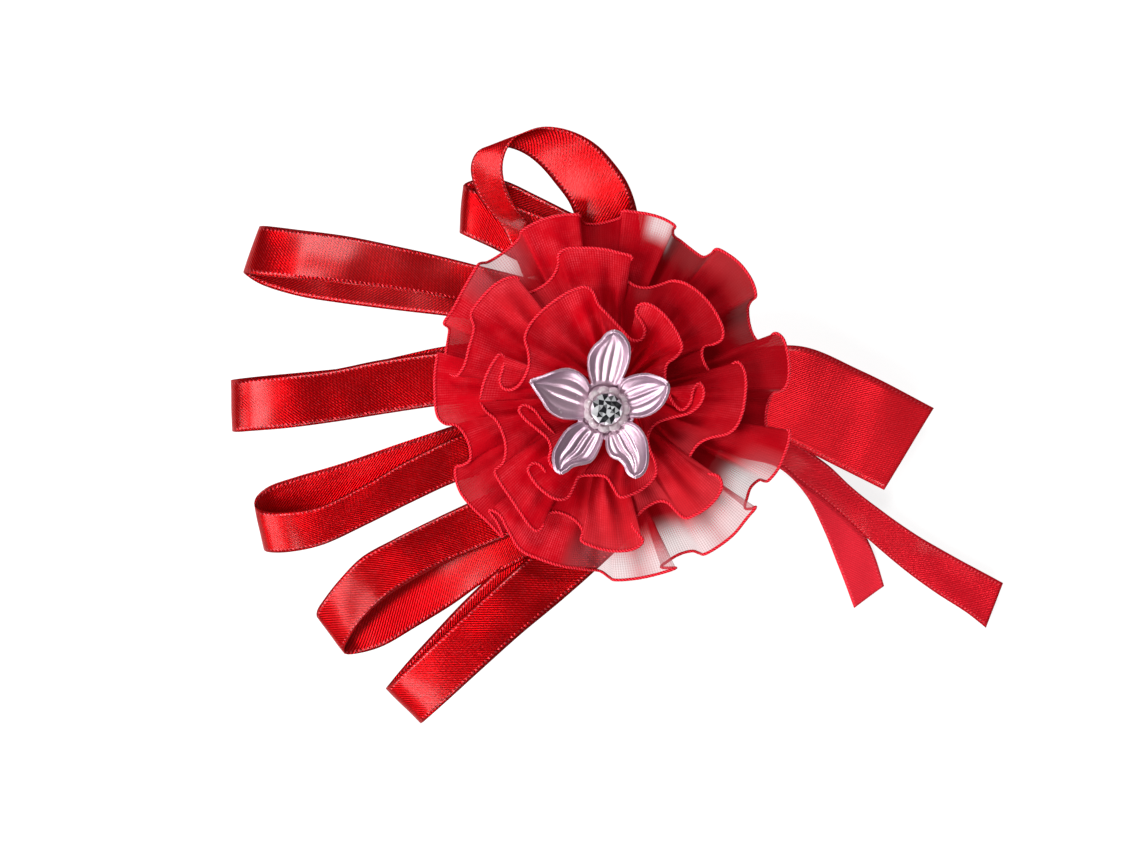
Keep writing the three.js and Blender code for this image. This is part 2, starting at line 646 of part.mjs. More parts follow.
// Knot: a flattened, furrowed lump under the wrap
const knotTop = wrapBottom - WRAP_THICKNESS - GAP;
const KNOT_AROUND = 20;
const KNOT_RINGS = 10;
const FURROW_SHARE = 0.06;
const knotGeometry = new THREE.SphereGeometry(1 / 2, KNOT_AROUND, KNOT_RINGS);
knotGeometry.rotateY(radians(90));
const knotPoints = knotGeometry.attributes.position;
for (let i = 0; i < knotPoints.count; i += 1) {
  const x = knotPoints.getX(i);
  const swell = 1 - FURROW_SHARE * (1 + Math.cos(x * Math.PI * 6));
  knotPoints.setXYZ(
    i,
    x * KNOT_WIDTH,
    knotPoints.getY(i) * KNOT_WIDTH * swell,
    knotPoints.getZ(i) * KNOT_HEIGHT * swell,
  );
}
knotGeometry.deleteAttribute('normal');
knotGeometry.deleteAttribute('uv');
const knot = mergeVertices(knotGeometry);
knot.computeVertexNormals();
const knotMiddle = knotTop - KNOT_HEIGHT / 2;
const knotPlace = new THREE.Group();
knotPlace.position.set(KNOT_ALONG, KNOT_ACROSS, knotMiddle);
group.add(knotPlace);
add(knotPlace, 'tie_knot', knot, SATIN_RED, 0.4);

// Tails and the wide end: places along each as shares of its length, pinched where the knot
// holds them. Each row: along, aside, height, width share.
const wideEndShares = [
  [0, 0, 0, 0.3], [0.12, -0.005, 0.004, 0.42], [0.3, -0.02, 0.02, 0.72], [0.5, -0.03, 0.035, 0.95],
  [0.7, -0.06, 0.03, 1], [0.86, -0.13, 0.02, 1], [1, -0.22, 0.015, 1],
];
const longTailShares = [
  [0, 0, 0, 0.55], [0.08, 0.004, 0, 0.75], [0.2, 0.012, 0.002, 0.95], [0.34, 0.006, 0.004, 1],
  [0.48, -0.012, 0.002, 1], [0.62, -0.02, 0, 1], [0.78, -0.014, 0.003, 1], [0.9, -0.008, 0.004, 1],
  [1, -0.004, 0.002, 1],
];
const shortTailShares = [
  [0, 0, 0, 0.55], [0.14, 0.012, 0, 0.75], [0.34, 0.02, -0.004, 0.95], [0.54, 0.004, -0.01, 1],
  [0.72, -0.045, -0.014, 1], [0.87, -0.12, -0.02, 1], [1, -0.215, -0.03, 1],
];
const TAIL_STEPS = 26;

function tailSolid(shares, length, width, thickness, tiltShare) {
  const places = shares.map(([along, aside, height]) => new THREE.Vector3(
    along * length,
    aside * length,
    height * length,
  ));
  const acrosses = shares.map(([, , , share], i) => {
    const before = places[Math.max(i - 1, 0)];
    const after = places[Math.min(i + 1, places.length - 1)];
    const way = new THREE.Vector3().subVectors(after, before).setZ(0).normalize();
    const across = new THREE.Vector3(-way.y, way.x, 0).multiplyScalar(width * share);
    if (i > 0) {
      across.z = tiltShare * width * share;
    }
    return across;
  });
  return ribbon(places, acrosses, thickness, TAIL_STEPS);
}

function placeTail(name, solid, heading, level) {
  const place = new THREE.Group();
  const heightShare = (level * TAIL_STEP) / (KNOT_HEIGHT / 2);
  const reach = (KNOT_WIDTH / 2) * Math.sqrt(1 - heightShare ** 2) + GAP;
  place.position.set(
    KNOT_ALONG + Math.cos(radians(heading)) * reach,
    KNOT_ACROSS + Math.sin(radians(heading)) * reach,
    knotMiddle + level * TAIL_STEP,
  );
  place.rotation.z = radians(heading);
  group.add(place);
  add(place, name, solid, SATIN_RED, 0.4);
}
placeTail('wide_end', tailSolid(
  wideEndShares, WIDE_END_LENGTH, BAND_WIDTH, BAND_THICKNESS, 0,
), -22, 1);
placeTail('long_tail', tailSolid(
  longTailShares, LONG_TAIL_LENGTH, SATIN_WIDTH, SATIN_THICKNESS, 0,
), -47, 0);
placeTail('short_tail', tailSolid(
  shortTailShares, SHORT_TAIL_LENGTH, SATIN_WIDTH, SATIN_THICKNESS, 0,
), -46, -1);

export default group;
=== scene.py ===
# %% [markdown]
# # Wrist corsage
# A gathered rosette of sheer ribbon carries a pearl flower with a clear stone. Loops of satin
# ribbon fan out from under it, and a wide satin ribbon ties it round the wrist.
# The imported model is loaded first, so that every piece made here goes where the solids say.

# %% Load the frame
import math
import random

import bmesh
import bpy
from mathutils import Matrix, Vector, noise


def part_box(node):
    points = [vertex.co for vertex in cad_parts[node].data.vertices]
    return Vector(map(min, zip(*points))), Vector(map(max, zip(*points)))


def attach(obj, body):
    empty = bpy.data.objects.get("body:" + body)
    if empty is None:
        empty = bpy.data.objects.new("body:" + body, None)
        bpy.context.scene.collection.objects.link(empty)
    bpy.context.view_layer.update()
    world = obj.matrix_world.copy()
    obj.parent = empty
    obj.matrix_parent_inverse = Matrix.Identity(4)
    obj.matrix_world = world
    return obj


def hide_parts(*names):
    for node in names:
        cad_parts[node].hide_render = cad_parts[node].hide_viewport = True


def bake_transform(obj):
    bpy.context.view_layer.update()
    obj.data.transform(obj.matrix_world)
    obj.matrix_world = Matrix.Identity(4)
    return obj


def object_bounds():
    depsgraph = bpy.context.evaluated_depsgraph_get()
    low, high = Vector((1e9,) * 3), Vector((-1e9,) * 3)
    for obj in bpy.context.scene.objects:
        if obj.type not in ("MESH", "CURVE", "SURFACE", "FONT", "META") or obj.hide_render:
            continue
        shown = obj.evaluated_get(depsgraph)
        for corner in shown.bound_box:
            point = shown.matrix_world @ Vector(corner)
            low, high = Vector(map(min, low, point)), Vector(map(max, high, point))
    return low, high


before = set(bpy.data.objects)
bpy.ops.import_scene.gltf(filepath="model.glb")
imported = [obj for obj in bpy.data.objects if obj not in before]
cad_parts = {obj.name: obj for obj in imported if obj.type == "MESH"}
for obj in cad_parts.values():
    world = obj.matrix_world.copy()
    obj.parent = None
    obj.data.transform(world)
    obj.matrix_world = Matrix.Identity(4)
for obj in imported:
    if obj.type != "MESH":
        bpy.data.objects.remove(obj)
cad_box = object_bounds()
scene = bpy.context.scene

# %% [markdown]
# Lengths below are in millimetres, because ribbons and stones are sold that way. Blender works in
# metres, so one factor turns them. Only the stage's own sizes and the depths of bumps stay in
# metres. The rosette's own axes are turned a little from the wrist's.

# %% Sizes shared by all pieces
MM = 0.001
TURN = math.radians(-16.5)
FIXED = "rosette_and_band"
NARROW = 12.0
WIDE = 25.0
random.seed(7)


def turned(x, y, z):
    """A point in the rosette's own axes, in millimetres, as a point of the frame."""
    return Vector((
        (x * math.cos(TURN) - y * math.sin(TURN)) * MM,
        (x * math.sin(TURN) + y * math.cos(TURN)) * MM,
        z * MM,
    ))


def linked(name, data):
    """A new object of the scene that shows the given data."""
    made = bpy.data.objects.new(name, data)
    scene.collection.objects.link(made)
    return made


print("rosette turned by", round(math.degrees(TURN), 1), "degrees")

# %% [markdown]
# The camera looks straight down on the rosette. It could be placed by eye, but a long lens at a
# known height makes every later placement a matter of proportion: a point that should show at
# a given place in the picture is found at any height by the same rule.

# %% Camera
PICTURE = (1140, 855)
CAMERA_HEIGHT = 460.0
PLANE = 10.0  # the height at which a millimetre takes SCALE points of the picture
SCALE = 4.4
CENTRE = (-9.55, -7.16)
SENSOR = 36.0
NEAREST, FARTHEST = 0.01, 20  # metres

camera_data = bpy.data.cameras.new("camera")
camera_data.sensor_width = SENSOR
plane_width = PICTURE[0] / SCALE
camera_data.lens = SENSOR * (CAMERA_HEIGHT - PLANE) / plane_width
camera_data.clip_start = NEAREST
camera_data.clip_end = FARTHEST
camera = linked("camera", camera_data)
camera.location = turned(*CENTRE, CAMERA_HEIGHT)
camera.rotation_euler = (0, 0, TURN)
scene.camera = camera


def spot(px, py, z):
    """The point at height z, in millimetres, that shows at a place in the picture."""
    scale = SCALE * (CAMERA_HEIGHT - PLANE) / (CAMERA_HEIGHT - z)
    return turned(
        CENTRE[0] + (px - PICTURE[0] / 2) / scale,
        CENTRE[1] - (py - PICTURE[1] / 2) / scale,
        z,
    )


print("lens", round(camera_data.lens, 1), "mm")

# %% [markdown]
# Shader maths reads best as plain sums. A small class wraps a socket and overloads the
# operators, so that an expression such as 1 - mask adds its own Math nodes.

# %% Shader helpers
class Wire:
    """The output of a node, which sums and products can be written with."""

    def __init__(self, finish, socket):
        self.finish = finish
        self.socket = socket

    def apply(self, operation, *others):
        """Adds a Math node of this value and the others."""
        values = dict(enumerate((self, *others)))
        return self.finish.node("Math", {"operation": operation}, values)

    def __add__(self, other):
        return self.apply("ADD", other)

    __radd__ = __add__

    def __sub__(self, other):
        return self.apply("SUBTRACT", other)

    def __rsub__(self, other):
        return self.finish.node("Math", {"operation": "SUBTRACT"}, {0: other, 1: self})

    def __mul__(self, other):
        return self.apply("MULTIPLY", other)

    __rmul__ = __mul__

    def size(self):
        """The value without its sign."""
        return self.apply("ABSOLUTE")

    def power(self, exponent):
        return self.apply("POWER", exponent)

    def stripes(self, pitch):
        """A sine that comes round once in each pitch of this distance."""
        return (self * (2 * math.pi / pitch)).apply("SINE")

    def clamped(self):
        return self.finish.node("Clamp", {}, {0: self})

    def ramp(self, low, high):
        """A smooth way from 0 at the first value to 1 at the second."""
        settings = {"interpolation_type": "SMOOTHSTEP"}
        return self.finish.node("MapRange", settings, {0: self, 1: low, 2: high})


class Finish:
    """A material whose nodes are added one by one. With the kind World it is a world."""

    def __init__(self, name, kind="Material"):
        owners = bpy.data.worlds if kind == "World" else bpy.data.materials
        self.material = owners.new(name)
        self.material.use_nodes = True
        self.tree = self.material.node_tree
        self.tree.nodes.clear()
        self.output = self.tree.nodes.new("ShaderNodeOutput" + kind)

    def put(self, socket, value):
        """Joins a wire to an input, or sets the input to a plain value."""
        if isinstance(value, Wire):
            self.tree.links.new(value.socket, socket)
        else:
            socket.default_value = value

    def node(self, kind, settings=None, values=None, output=0):
        """Adds a node with its settings and inputs, and gives one of its outputs."""
        made = self.tree.nodes.new("ShaderNode" + kind)
        for key, value in (settings or {}).items():
            setattr(made, key, value)
        for key, value in (values or {}).items():
            self.put(made.inputs[key], value)
        return Wire(self, made.outputs[output])

    def mix(self, factor, first, second):
        return self.node("Mix", {"data_type": "RGBA"}, {0: factor, 6: first, 7: second}, 2)

    def cloth_place(self):
        """Distances along and across the cloth, in millimetres, from the piece's own UV map."""
        split = self.node("SeparateXYZ", {}, {0: self.node("UVMap", {"uv_map": "cloth"})})
        return [Wire(self, split.socket.node.outputs[i]) for i in range(2)]

    def object_place(self):
        return self.node("TexCoord", {}, {}, "Object")

    def clouds(self, scale, detail, roughness=0.5, place=None):
        """A noise through the piece, or over another place when one is given."""
        return self.node("TexNoise", {}, {
            "Vector": place or self.object_place(), "Scale": scale, "Detail": detail,
            "Roughness": roughness,
        }, "Fac")

    def kept(self, name):
        """The number that the piece keeps for each point or face under a name."""
        return self.node("Attribute", {"attribute_name": name}, {}, "Fac")

    def rays(self, *kinds):
        """1 for rays of the given kinds and 0 for the others."""
        outputs = self.node("LightPath").socket.node.outputs
        first, *others = [Wire(self, outputs[f"Is {kind} Ray"]) for kind in kinds]
        return sum(others, first).clamped()

    def bump(self, height, distance, strength):
        values = {"Height": height, "Distance": distance, "Strength": strength}
        return self.node("Bump", {}, values)

    def surface(self, wire):
        """Ends the material in a shader."""
        self.put(self.output.inputs["Surface"], wire)

    def shader(self, values):
        self.surface(self.node("BsdfPrincipled", {}, values))


print("shader helpers ready")

# %% [markdown]
# The floor and the light come early, so that the pieces are seen in them from the start. The
# floor is white of itself: part of its light reaches the camera only, and the rest takes the
# object's soft shadow. Far from the lamps it glows a little more, to stay white. The lamps stay
# at a level at which a colour looks as written.

# %% Floor, sky and lamps
WHITE = (1, 1, 1, 1)
FLOOR_GAP = 0.0017
FLOOR_SIZE = 6
FLOOR_SHADOW_SHARE = 0.26
FLOOR_GLOW = 0.86
FAR_GLOW = 0.14  # added from FAR_FROM on, in full at FAR_TO
FAR_FROM, FAR_TO = 0.3, 1.2
SKY_LIGHT = 0.1  # of the sky that the camera sees, what reaches the pieces

floor_level = cad_box[0][2] - FLOOR_GAP
bpy.ops.mesh.primitive_plane_add(size=FLOOR_SIZE, location=(0, 0, floor_level))
floor = bpy.context.object
floor.name = "floor"
bpy.ops.object.transform_apply(location=True, rotation=True, scale=True)
floor_finish = Finish("floor_white")
floor_diffuse = floor_finish.node("BsdfDiffuse", {}, {
    "Color": (FLOOR_SHADOW_SHARE, FLOOR_SHADOW_SHARE, FLOOR_SHADOW_SHARE, 1),
})
straight = floor_finish.rays("Camera", "Glossy", "Transmission")
from_centre = floor_finish.node(
    "VectorMath", {"operation": "LENGTH"}, {0: floor_finish.object_place()}, "Value")
floor_glow = floor_finish.node("Emission", {}, {
    "Color": WHITE,
    "Strength": straight * (FLOOR_GLOW + from_centre.ramp(FAR_FROM, FAR_TO) * FAR_GLOW),
})
floor_finish.surface(floor_finish.node("AddShader", {}, {0: floor_diffuse, 1: floor_glow}))
floor.data.materials.append(floor_finish.material)

sky = Finish("studio", "World")
scene.world = sky.material
sky_level = sky.node("MapRange", {}, {
    "Value": sky.rays("Camera", "Transmission"), "To Min": SKY_LIGHT,
})
sky.surface(sky.node("Background", {}, {"Color": WHITE, "Strength": sky_level}))


def lamp(name, place, size, watts):
    """A square soft lamp in the rosette's axes that faces the rosette."""
    data = bpy.data.lights.new(name, "AREA")
    data.size = size
    data.energy = watts
    made = linked(name, data)
    made.location = turned(*place)
    made.rotation_euler = (-made.location).to_track_quat("-Z", "Y").to_euler()


lamp("top_lamp", (-40, 460, 660), 0.22, 3.1)
lamp("left_lamp", (-430, -60, 670), 0.2, 2.2)
lamp("corner_lamp", (-300, -420, 610), 0.24, 1.9)
lamp("low_lamp", (60, -620, 500), 0.2, 1.8)
lamp("side_lamp", (-610, -200, 390), 0.32, 2.4)
scene.view_settings.view_transform = "Standard"

# %% [markdown]
# Ribbon is cut from flat cloth, so each one is a strip between two long edges. It could be a flat
# strip bent by a modifier, but a ribbon twists and leans as it goes, and that is easiest to say
# by giving a few pairs of edge points and letting smooth curves run through them.

# %% Cloth mesh helpers
def spline(points, steps_per_span=12):
    """Points along a smooth curve through the given ones."""
    dense = []
    count = len(points)
    for i in range(count - 1):
        a = points[max(i - 1, 0)]
        b = points[i]
        c = points[i + 1]
        d = points[min(i + 2, count - 1)]
        gap_ab = max((b - a).length, 1e-7) ** 0.5
        gap_bc = max((c - b).length, 1e-7) ** 0.5
        gap_cd = max((d - c).length, 1e-7) ** 0.5
        slope_b = (c - b) / gap_bc if i == 0 else (
            (b - a) / gap_ab - (c - a) / (gap_ab + gap_bc) + (c - b) / gap_bc)
        slope_c = (c - b) / gap_bc if i == count - 2 else (
            (c - b) / gap_bc - (d - b) / (gap_bc + gap_cd) + (d - c) / gap_cd)
        slope_b = slope_b * gap_bc
        slope_c = slope_c * gap_bc
        for k in range(steps_per_span):
            t = k / steps_per_span
            dense.append(
                b * (2 * t ** 3 - 3 * t ** 2 + 1) + slope_b * (t ** 3 - 2 * t ** 2 + t)
                + c * (3 * t ** 2 - 2 * t ** 3) + slope_c * (t ** 3 - t ** 2)
            )
    dense.append(points[-1].copy())
    return dense


def even(lines, step):
    """Several curves with the same number of points, stepped evenly along their middle."""
    middle = [sum(points, Vector()) / len(lines) for points in zip(*lines)]
    reach = [0.0]
    for i in range(1, len(middle)):
        reach.append(reach[-1] + (middle[i] - middle[i - 1]).length)
    count = max(2, round(reach[-1] / step))
    result = [[] for _ in lines]
    at = 0
    for k in range(count + 1):
        goal = reach[-1] * k / count
        while at < len(reach) - 2 and reach[at + 1] < goal:
            at += 1
        share = (goal - reach[at]) / max(reach[at + 1] - reach[at], 1e-9)
        for line, out in zip(lines, result):
            out.append(line[at].lerp(line[at + 1], min(max(share, 0), 1)))
    return result, reach[-1]


def smooth(mesh):
    """Shades all faces of a mesh smoothly."""
    for polygon in mesh.polygons:
        polygon.use_smooth = True


def cloth(name, rows, along, across, extra=None):
    """A mesh over rows[i][j]. Its UV map holds the cloth's own distances in millimetres, which
    grow by along from row to row and by across from point to point."""
    columns = len(rows[0])
    faces = []
    for i in range(len(rows) - 1):
        for j in range(columns - 1):
            a = i * columns + j
            faces.append((a, a + columns, a + columns + 1, a + 1))
    mesh = bpy.data.meshes.new(name)
    mesh.from_pydata([point for row in rows for point in row], [], faces)
    uv = mesh.uv_layers.new(name="cloth")
    for loop in mesh.loops:
        i, j = divmod(loop.vertex_index, columns)
        uv.data[loop.index].uv = (i * along, j * across)
    for key, value in (extra or {}).items():
        layer = mesh.attributes.new(key, "FLOAT", "POINT")
        values = [value(i, j) for i in range(len(rows)) for j in range(columns)]
        layer.data.foreach_set("value", values)
    smooth(mesh)
    return linked(name, mesh)


def only(piece):
    """Selects one piece alone, in object mode."""
    bpy.ops.object.select_all(action="DESELECT")
    piece.select_set(True)
    bpy.context.view_layer.objects.active = piece


def modified(piece, kind, **settings):
    """Applies one modifier to a piece."""
    only(piece)
    step = piece.modifiers.new(kind.lower(), kind)
    for key, value in settings.items():
        setattr(step, key, value)
    bpy.ops.object.modifier_apply(modifier=step.name)


def read(pairs):
    """Pairs of places in the picture, each with its height, as pairs of points."""
    return [(spot(*first), spot(*second)) for first, second in pairs]


RIBBON_COLUMNS = 12
RIBBON_STEP = 0.9
SATIN_THICKNESS = 0.3
RIPPLE_ALONG, RIPPLE_ACROSS = 0.11, 1.6
CROWN_SHARE = 0.35
SEED_STEP = 7.3


def satin_strip(name, pairs, width, wave, seed, step=RIBBON_STEP):
    """A satin ribbon through pairs of edge points, with thickness."""
    first = spline([pair[0] for pair in pairs])
    second = spline([pair[1] for pair in pairs])
    (first, second), length = even([first, second], step * MM)
    rows = []
    for i, (a, b) in enumerate(zip(first, second)):
        ahead = first[min(i + 1, len(first) - 1)] - first[max(i - 1, 0)]
        lift = ahead.cross(b - a).normalized()
        row = []
        for j in range(RIBBON_COLUMNS + 1):
            share = j / RIBBON_COLUMNS
            ripple = noise.noise(Vector((
                i * step * RIPPLE_ALONG, share * RIPPLE_ACROSS, seed * SEED_STEP)))
            crown = 1 - (2 * share - 1) ** 2
            row.append(a.lerp(b, share) + lift * MM * wave * (ripple + CROWN_SHARE * crown))
        rows.append(row)
    piece = cloth(name, rows, length / MM / (len(rows) - 1), width / RIBBON_COLUMNS)
    modified(piece, "SOLIDIFY", thickness=SATIN_THICKNESS * MM, offset=0)
    piece["flat_length"] = length
    return piece


def satin_ribbon(name, pairs, width, finish, nodes, held, under, flat_width=None, **form):
    """A satin strip with its finish; the solids of its nodes are hidden."""
    piece = satin_strip(name, pairs, width, **form)
    piece.data.materials.append(finish)
    flat = ((flat_width or width) * MM, piece["flat_length"])
    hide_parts(*nodes)
    print(name, round(piece["flat_length"] * 1000), "mm long")
    return piece


print("cloth helpers ready")

# %% [markdown]
# Satin is a weave of long floats, so it shines in broad bands and shows fine slanting lines.
# The lines are a bump on the ribbon's own distances, and each edge has a firmer woven border
# with small even stitches. The colour shifts a little from place to place, as dyed thread does.

# %% Satin finish
SATIN_RED = (0.52, 0.0006, 0.003, 1)
SATIN_DEEP = (0.24, 0.0002, 0.0012, 1)
SATIN_PALE_STITCH_AND_GLINT = (1.0, 0.12, 0.15, 1)
TWILL_PITCH = 0.7
THREAD_PITCH = 0.8
STITCH_PITCH = 1.0
BORDER_PLACE = 0.775  # its middle, from the ribbon's edge
BORDER_HALF = 0.275
BORDER_SOFT = 0.08


def satin_finish(name, width, red=SATIN_RED, deep=SATIN_DEEP, metal=0.72, coat=0.24):
    """Satin of one width, from a red for its floats and a deep one for its shade."""
    finish = Finish(name)
    along, across = finish.cloth_place()
    twill = (along * 0.9 + across).stripes(TWILL_PITCH)
    threads = along.stripes(THREAD_PITCH)
    from_edge = width / 2 - (across - width / 2).size()
    border = (from_edge - BORDER_PLACE).size().ramp(
        BORDER_HALF + BORDER_SOFT, BORDER_HALF - BORDER_SOFT)
    stitches = (along + across * 0.4).stripes(STITCH_PITCH)
    spread = finish.clouds(60.0, 3.0)
    fine = finish.clouds(1300.0, 2.0)
    shade = (spread.ramp(0.35, 0.68) * 0.2 + twill.ramp(-1, 1) * 0.6 + fine * 0.2).clamped()
    body = finish.mix(shade, red, deep)
    # Painted highlight: flecks of the pale stitch colour where the fine noise is high and the
    # twill low
    painted_glint = (fine.ramp(0.45, 0.7) * twill.ramp(0.5, -1) * 0.08).clamped()
    body = finish.mix(painted_glint, body, SATIN_PALE_STITCH_AND_GLINT)
    colour = finish.mix((border * 0.45).clamped(), body, deep)
    colour = finish.mix((border * stitches.ramp(0.0, 0.6) * 0.35).clamped(), colour, SATIN_PALE_STITCH_AND_GLINT)
    height = twill * 0.5 + threads * 0.1 + border * stitches * 0.7
    finish.shader({
        "Base Color": colour,
        "Roughness": (0.26 + fine * 0.06).clamped(),
        "Metallic": metal,
        "IOR": 1.35,
        "Specular IOR Level": 0.15,
        "Specular Tint": (1.0, 0.3, 0.32, 1),
        "Coat Weight": coat,
        "Coat Roughness": 0.2,
        "Normal": finish.bump(height, 0.0001, 0.5),
    })
    return finish.material


narrow_satin = satin_finish("satin_12", NARROW)
wide_satin = satin_finish(
    "satin_25", WIDE, red=(0.78, 0.012, 0.022, 1), deep=(0.52, 0.004, 0.011, 1), metal=0.3)
end_satin = satin_finish(
    "satin_12_end", NARROW, red=(0.60, 0.008, 0.018, 1), deep=(0.36, 0.003, 0.009, 1),
    metal=0.2, coat=0.06)
reverse_satin = satin_finish(
    "satin_12_back", NARROW, red=(0.82, 0.026, 0.046, 1), deep=(0.72, 0.018, 0.034, 1),
    metal=0.1, coat=0.06)
print("satin finishes:", narrow_satin.name, wide_satin.name, end_satin.name, reverse_satin.name)

# %% [markdown]
# Five loops of satin fan out to the left. Each is one ribbon that leaves the stitched middle,
# runs out, folds over and comes back underneath. Each pair below is a place on the two edges of
# the ribbon, read where the loop bends, so the lean of each strand follows the real one.

# %% Fanned loops
LOOP_PAIRS = {
    1: [
        ((618, 300, 5.25), (618, 346, 5.25)), ((560, 286, 5.25), (560, 330, 5.25)),
        ((480, 266, 5.25), (480, 306, 5.6)), ((440, 256, 5.6), (438, 297, 6.9)),
        ((400, 247, 6.9), (394, 290, 8.1)), ((346, 236, 7.9), (336, 283, 9.9)),
        ((300, 230, 8.5), (290, 278, 10.9)), ((276, 227, 8.3), (260, 275, 9.3)),
        ((264, 226, 7.4), (248, 273, 7.2)), ((260, 227, 5.8), (244, 272, 5.0)),
        ((263, 230, 3.6), (246, 275, 3.2)), ((276, 236, 2.4), (260, 284, 1.5)),
        ((310, 245, 2.0), (298, 296, 1.1)), ((350, 252, 2.4), (340, 303, 1.5)),
        ((400, 262, 3.4), (394, 310, 2.3)), ((446, 268, 4.2), (446, 316, 3.5)),
        ((480, 272, 4.4), (480, 321, 4.35)), ((560, 288, 4.42), (560, 337, 4.42)),
        ((618, 300, 4.42), (618, 350, 4.42)),
    ],
    2: [
        ((618, 330, 5.25), (618, 384, 5.25)), ((560, 337, 5.25), (560, 391, 5.25)),
        ((476, 348, 5.25), (478, 402, 5.25)), ((436, 352, 5.6), (438, 406, 5.5)),
        ((380, 360, 6.8), (384, 414, 6.5)), ((330, 370, 8.3), (334, 422, 8.0)),
        ((285, 375, 9.5), (288, 428, 9.2)), ((250, 378, 8.8), (252, 431, 8.4)),
        ((235, 380, 7.2), (237, 432, 6.8)), ((231, 380, 5.0), (233, 431, 4.6)),
        ((236, 379, 3.0), (238, 430, 2.6)), ((262, 376, 1.8), (264, 427, 1.6)),
        ((305, 372, 1.6), (308, 423, 1.4)), ((350, 367, 2.2), (353, 418, 2.0)),
        ((395, 357, 3.0), (398, 408, 2.9)), ((440, 347, 3.9), (443, 399, 3.9)),
        ((478, 342, 4.4), (480, 395, 4.4)), ((560, 332, 4.42), (560, 386, 4.42)),
        ((618, 326, 4.42), (618, 380, 4.42)),
    ],
    3: [
        ((618, 372, 5.25), (618, 426, 5.25)), ((560, 392, 5.25), (562, 446, 5.25)),
        ((482, 424, 5.3), (486, 473, 5.25)), ((452, 438, 5.7), (456, 482, 5.3)),
        ((404, 462, 6.9), (410, 503, 6.3)), ((362, 486, 8.1), (368, 524, 7.6)),
        ((318, 507, 9.4), (322, 545, 8.6)), ((284, 512, 9.4), (288, 552, 7.9)),
        ((262, 511, 7.8), (270, 552, 5.9)), ((255, 506, 6.0), (265, 550, 4.0)),
        ((256, 498, 5.6), (265, 545, 1.6)), ((268, 487, 4.6), (277, 536, 0.9)),
        ((296, 477, 4.2), (304, 527, 0.8)), ((340, 464, 4.0), (348, 514, 1.2)),
        ((392, 446, 4.1), (400, 497, 2.2)), ((440, 430, 4.3), (448, 482, 3.6)),
        ((478, 417, 4.42), (484, 470, 4.3)), ((560, 390, 4.42), (562, 443, 4.42)),
        ((618, 372, 4.42), (618, 425, 4.42)),
    ],
    4: [
        ((618, 424, 5.25), (618, 478, 5.25)), ((560, 458, 5.25), (564, 511, 5.25)),
        ((505, 486, 5.3), (512, 535, 5.25)), ((468, 503, 5.6), (478, 549, 5.4)),
        ((430, 521, 7.0), (444, 563, 6.0)), ((394, 539, 8.8), (414, 579, 7.2)),
        ((362, 557, 9.5), (386, 597, 7.8)), ((340, 579, 8.4), (364, 618, 6.6)),
        ((325, 598, 6.9), (350, 637, 5.0)), ((317, 611, 5.2), (344, 649, 3.2)),
        ((318, 617, 4.0), (346, 654, 1.9)), ((330, 614, 2.1), (360, 653, 0.9)),
        ((352, 603, 1.5), (383, 646, 0.9)), ((386, 584, 1.0), (416, 627, 0.9)),
        ((424, 561, 1.0), (452, 605, 1.4)), ((464, 536, 2.6), (486, 581, 3.0)),
        ((512, 512, 4.3), (524, 560, 4.2)), ((560, 486, 4.42), (570, 536, 4.42)),
        ((618, 450, 4.42), (622, 503, 4.42)),
    ],
    5: [
        ((660, 434, 5.25), (684, 482, 5.25)), ((610, 482, 5.25), (646, 522, 5.25)),
        ((560, 530, 5.3), (597, 569, 5.25)), ((526, 559, 5.6), (562, 600, 5.5)),
        ((486, 595, 7.8), (521, 634, 7.6)), ((448, 630, 8.9), (482, 669, 8.7)),
        ((416, 660, 8.1), (449, 699, 7.9)), ((397, 678, 6.9), (430, 716, 6.7)),
        ((389, 686, 5.6), (423, 722, 5.4)), ((386, 688, 4.2), (421, 723, 4.0)),
        ((390, 683, 3.0), (425, 718, 2.6)), ((404, 666, 2.0), (440, 703, 1.6)),
        ((432, 635, 1.8), (468, 674, 1.4)), ((464, 601, 2.4), (500, 641, 2.0)),
        ((500, 567, 3.6), (536, 608, 3.3)), ((530, 543, 4.2), (566, 583, 4.1)),
        ((600, 480, 4.42), (638, 520, 4.42)), ((650, 434, 4.42), (680, 478, 4.42)),
    ],
}
# For each loop the heading it leaves on, in degrees, and how far its bend lies beside that line
LOOP_BENDS = {
    1: (168.7, -16.59), 2: (187.3, -8.9), 3: (198.9, 2.39), 4: (212.2, 7.52), 5: (223.0, 18.98),
}
BEND_RADIUS = 50.0


def across_bend(heading, way, side, before, past, height):
    """A point before and one past the bend that lies so far along a heading and beside it."""
    out = (math.cos(math.radians(heading)), math.sin(math.radians(heading)))
    bend = (out[0] * way - out[1] * side, out[1] * way + out[0] * side)
    return [
        turned(bend[0] + out[0] * far, bend[1] + out[1] * far, height) for far in (-before, past)
    ]


for number, pairs in LOOP_PAIRS.items():
    loop = satin_ribbon(
        f"ribbon_loop_{number}", read(pairs), NARROW, narrow_satin,
        [f"satin_loop_{number}", "sewn_loops"], "folded", "upper_felt", wave=0.2, seed=number)
    heading, side = LOOP_BENDS[number]
    way = math.sqrt(BEND_RADIUS ** 2 - side ** 2)
    start, end = across_bend(heading, way, side, before=3.5, past=4.5, height=5)
    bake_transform(loop)

# %% [markdown]
# The curled loop stands up behind the rosette and shows its inner side. The low loop beside it
# lies under it. Both are made like the fanned ones, from pairs of edge points.

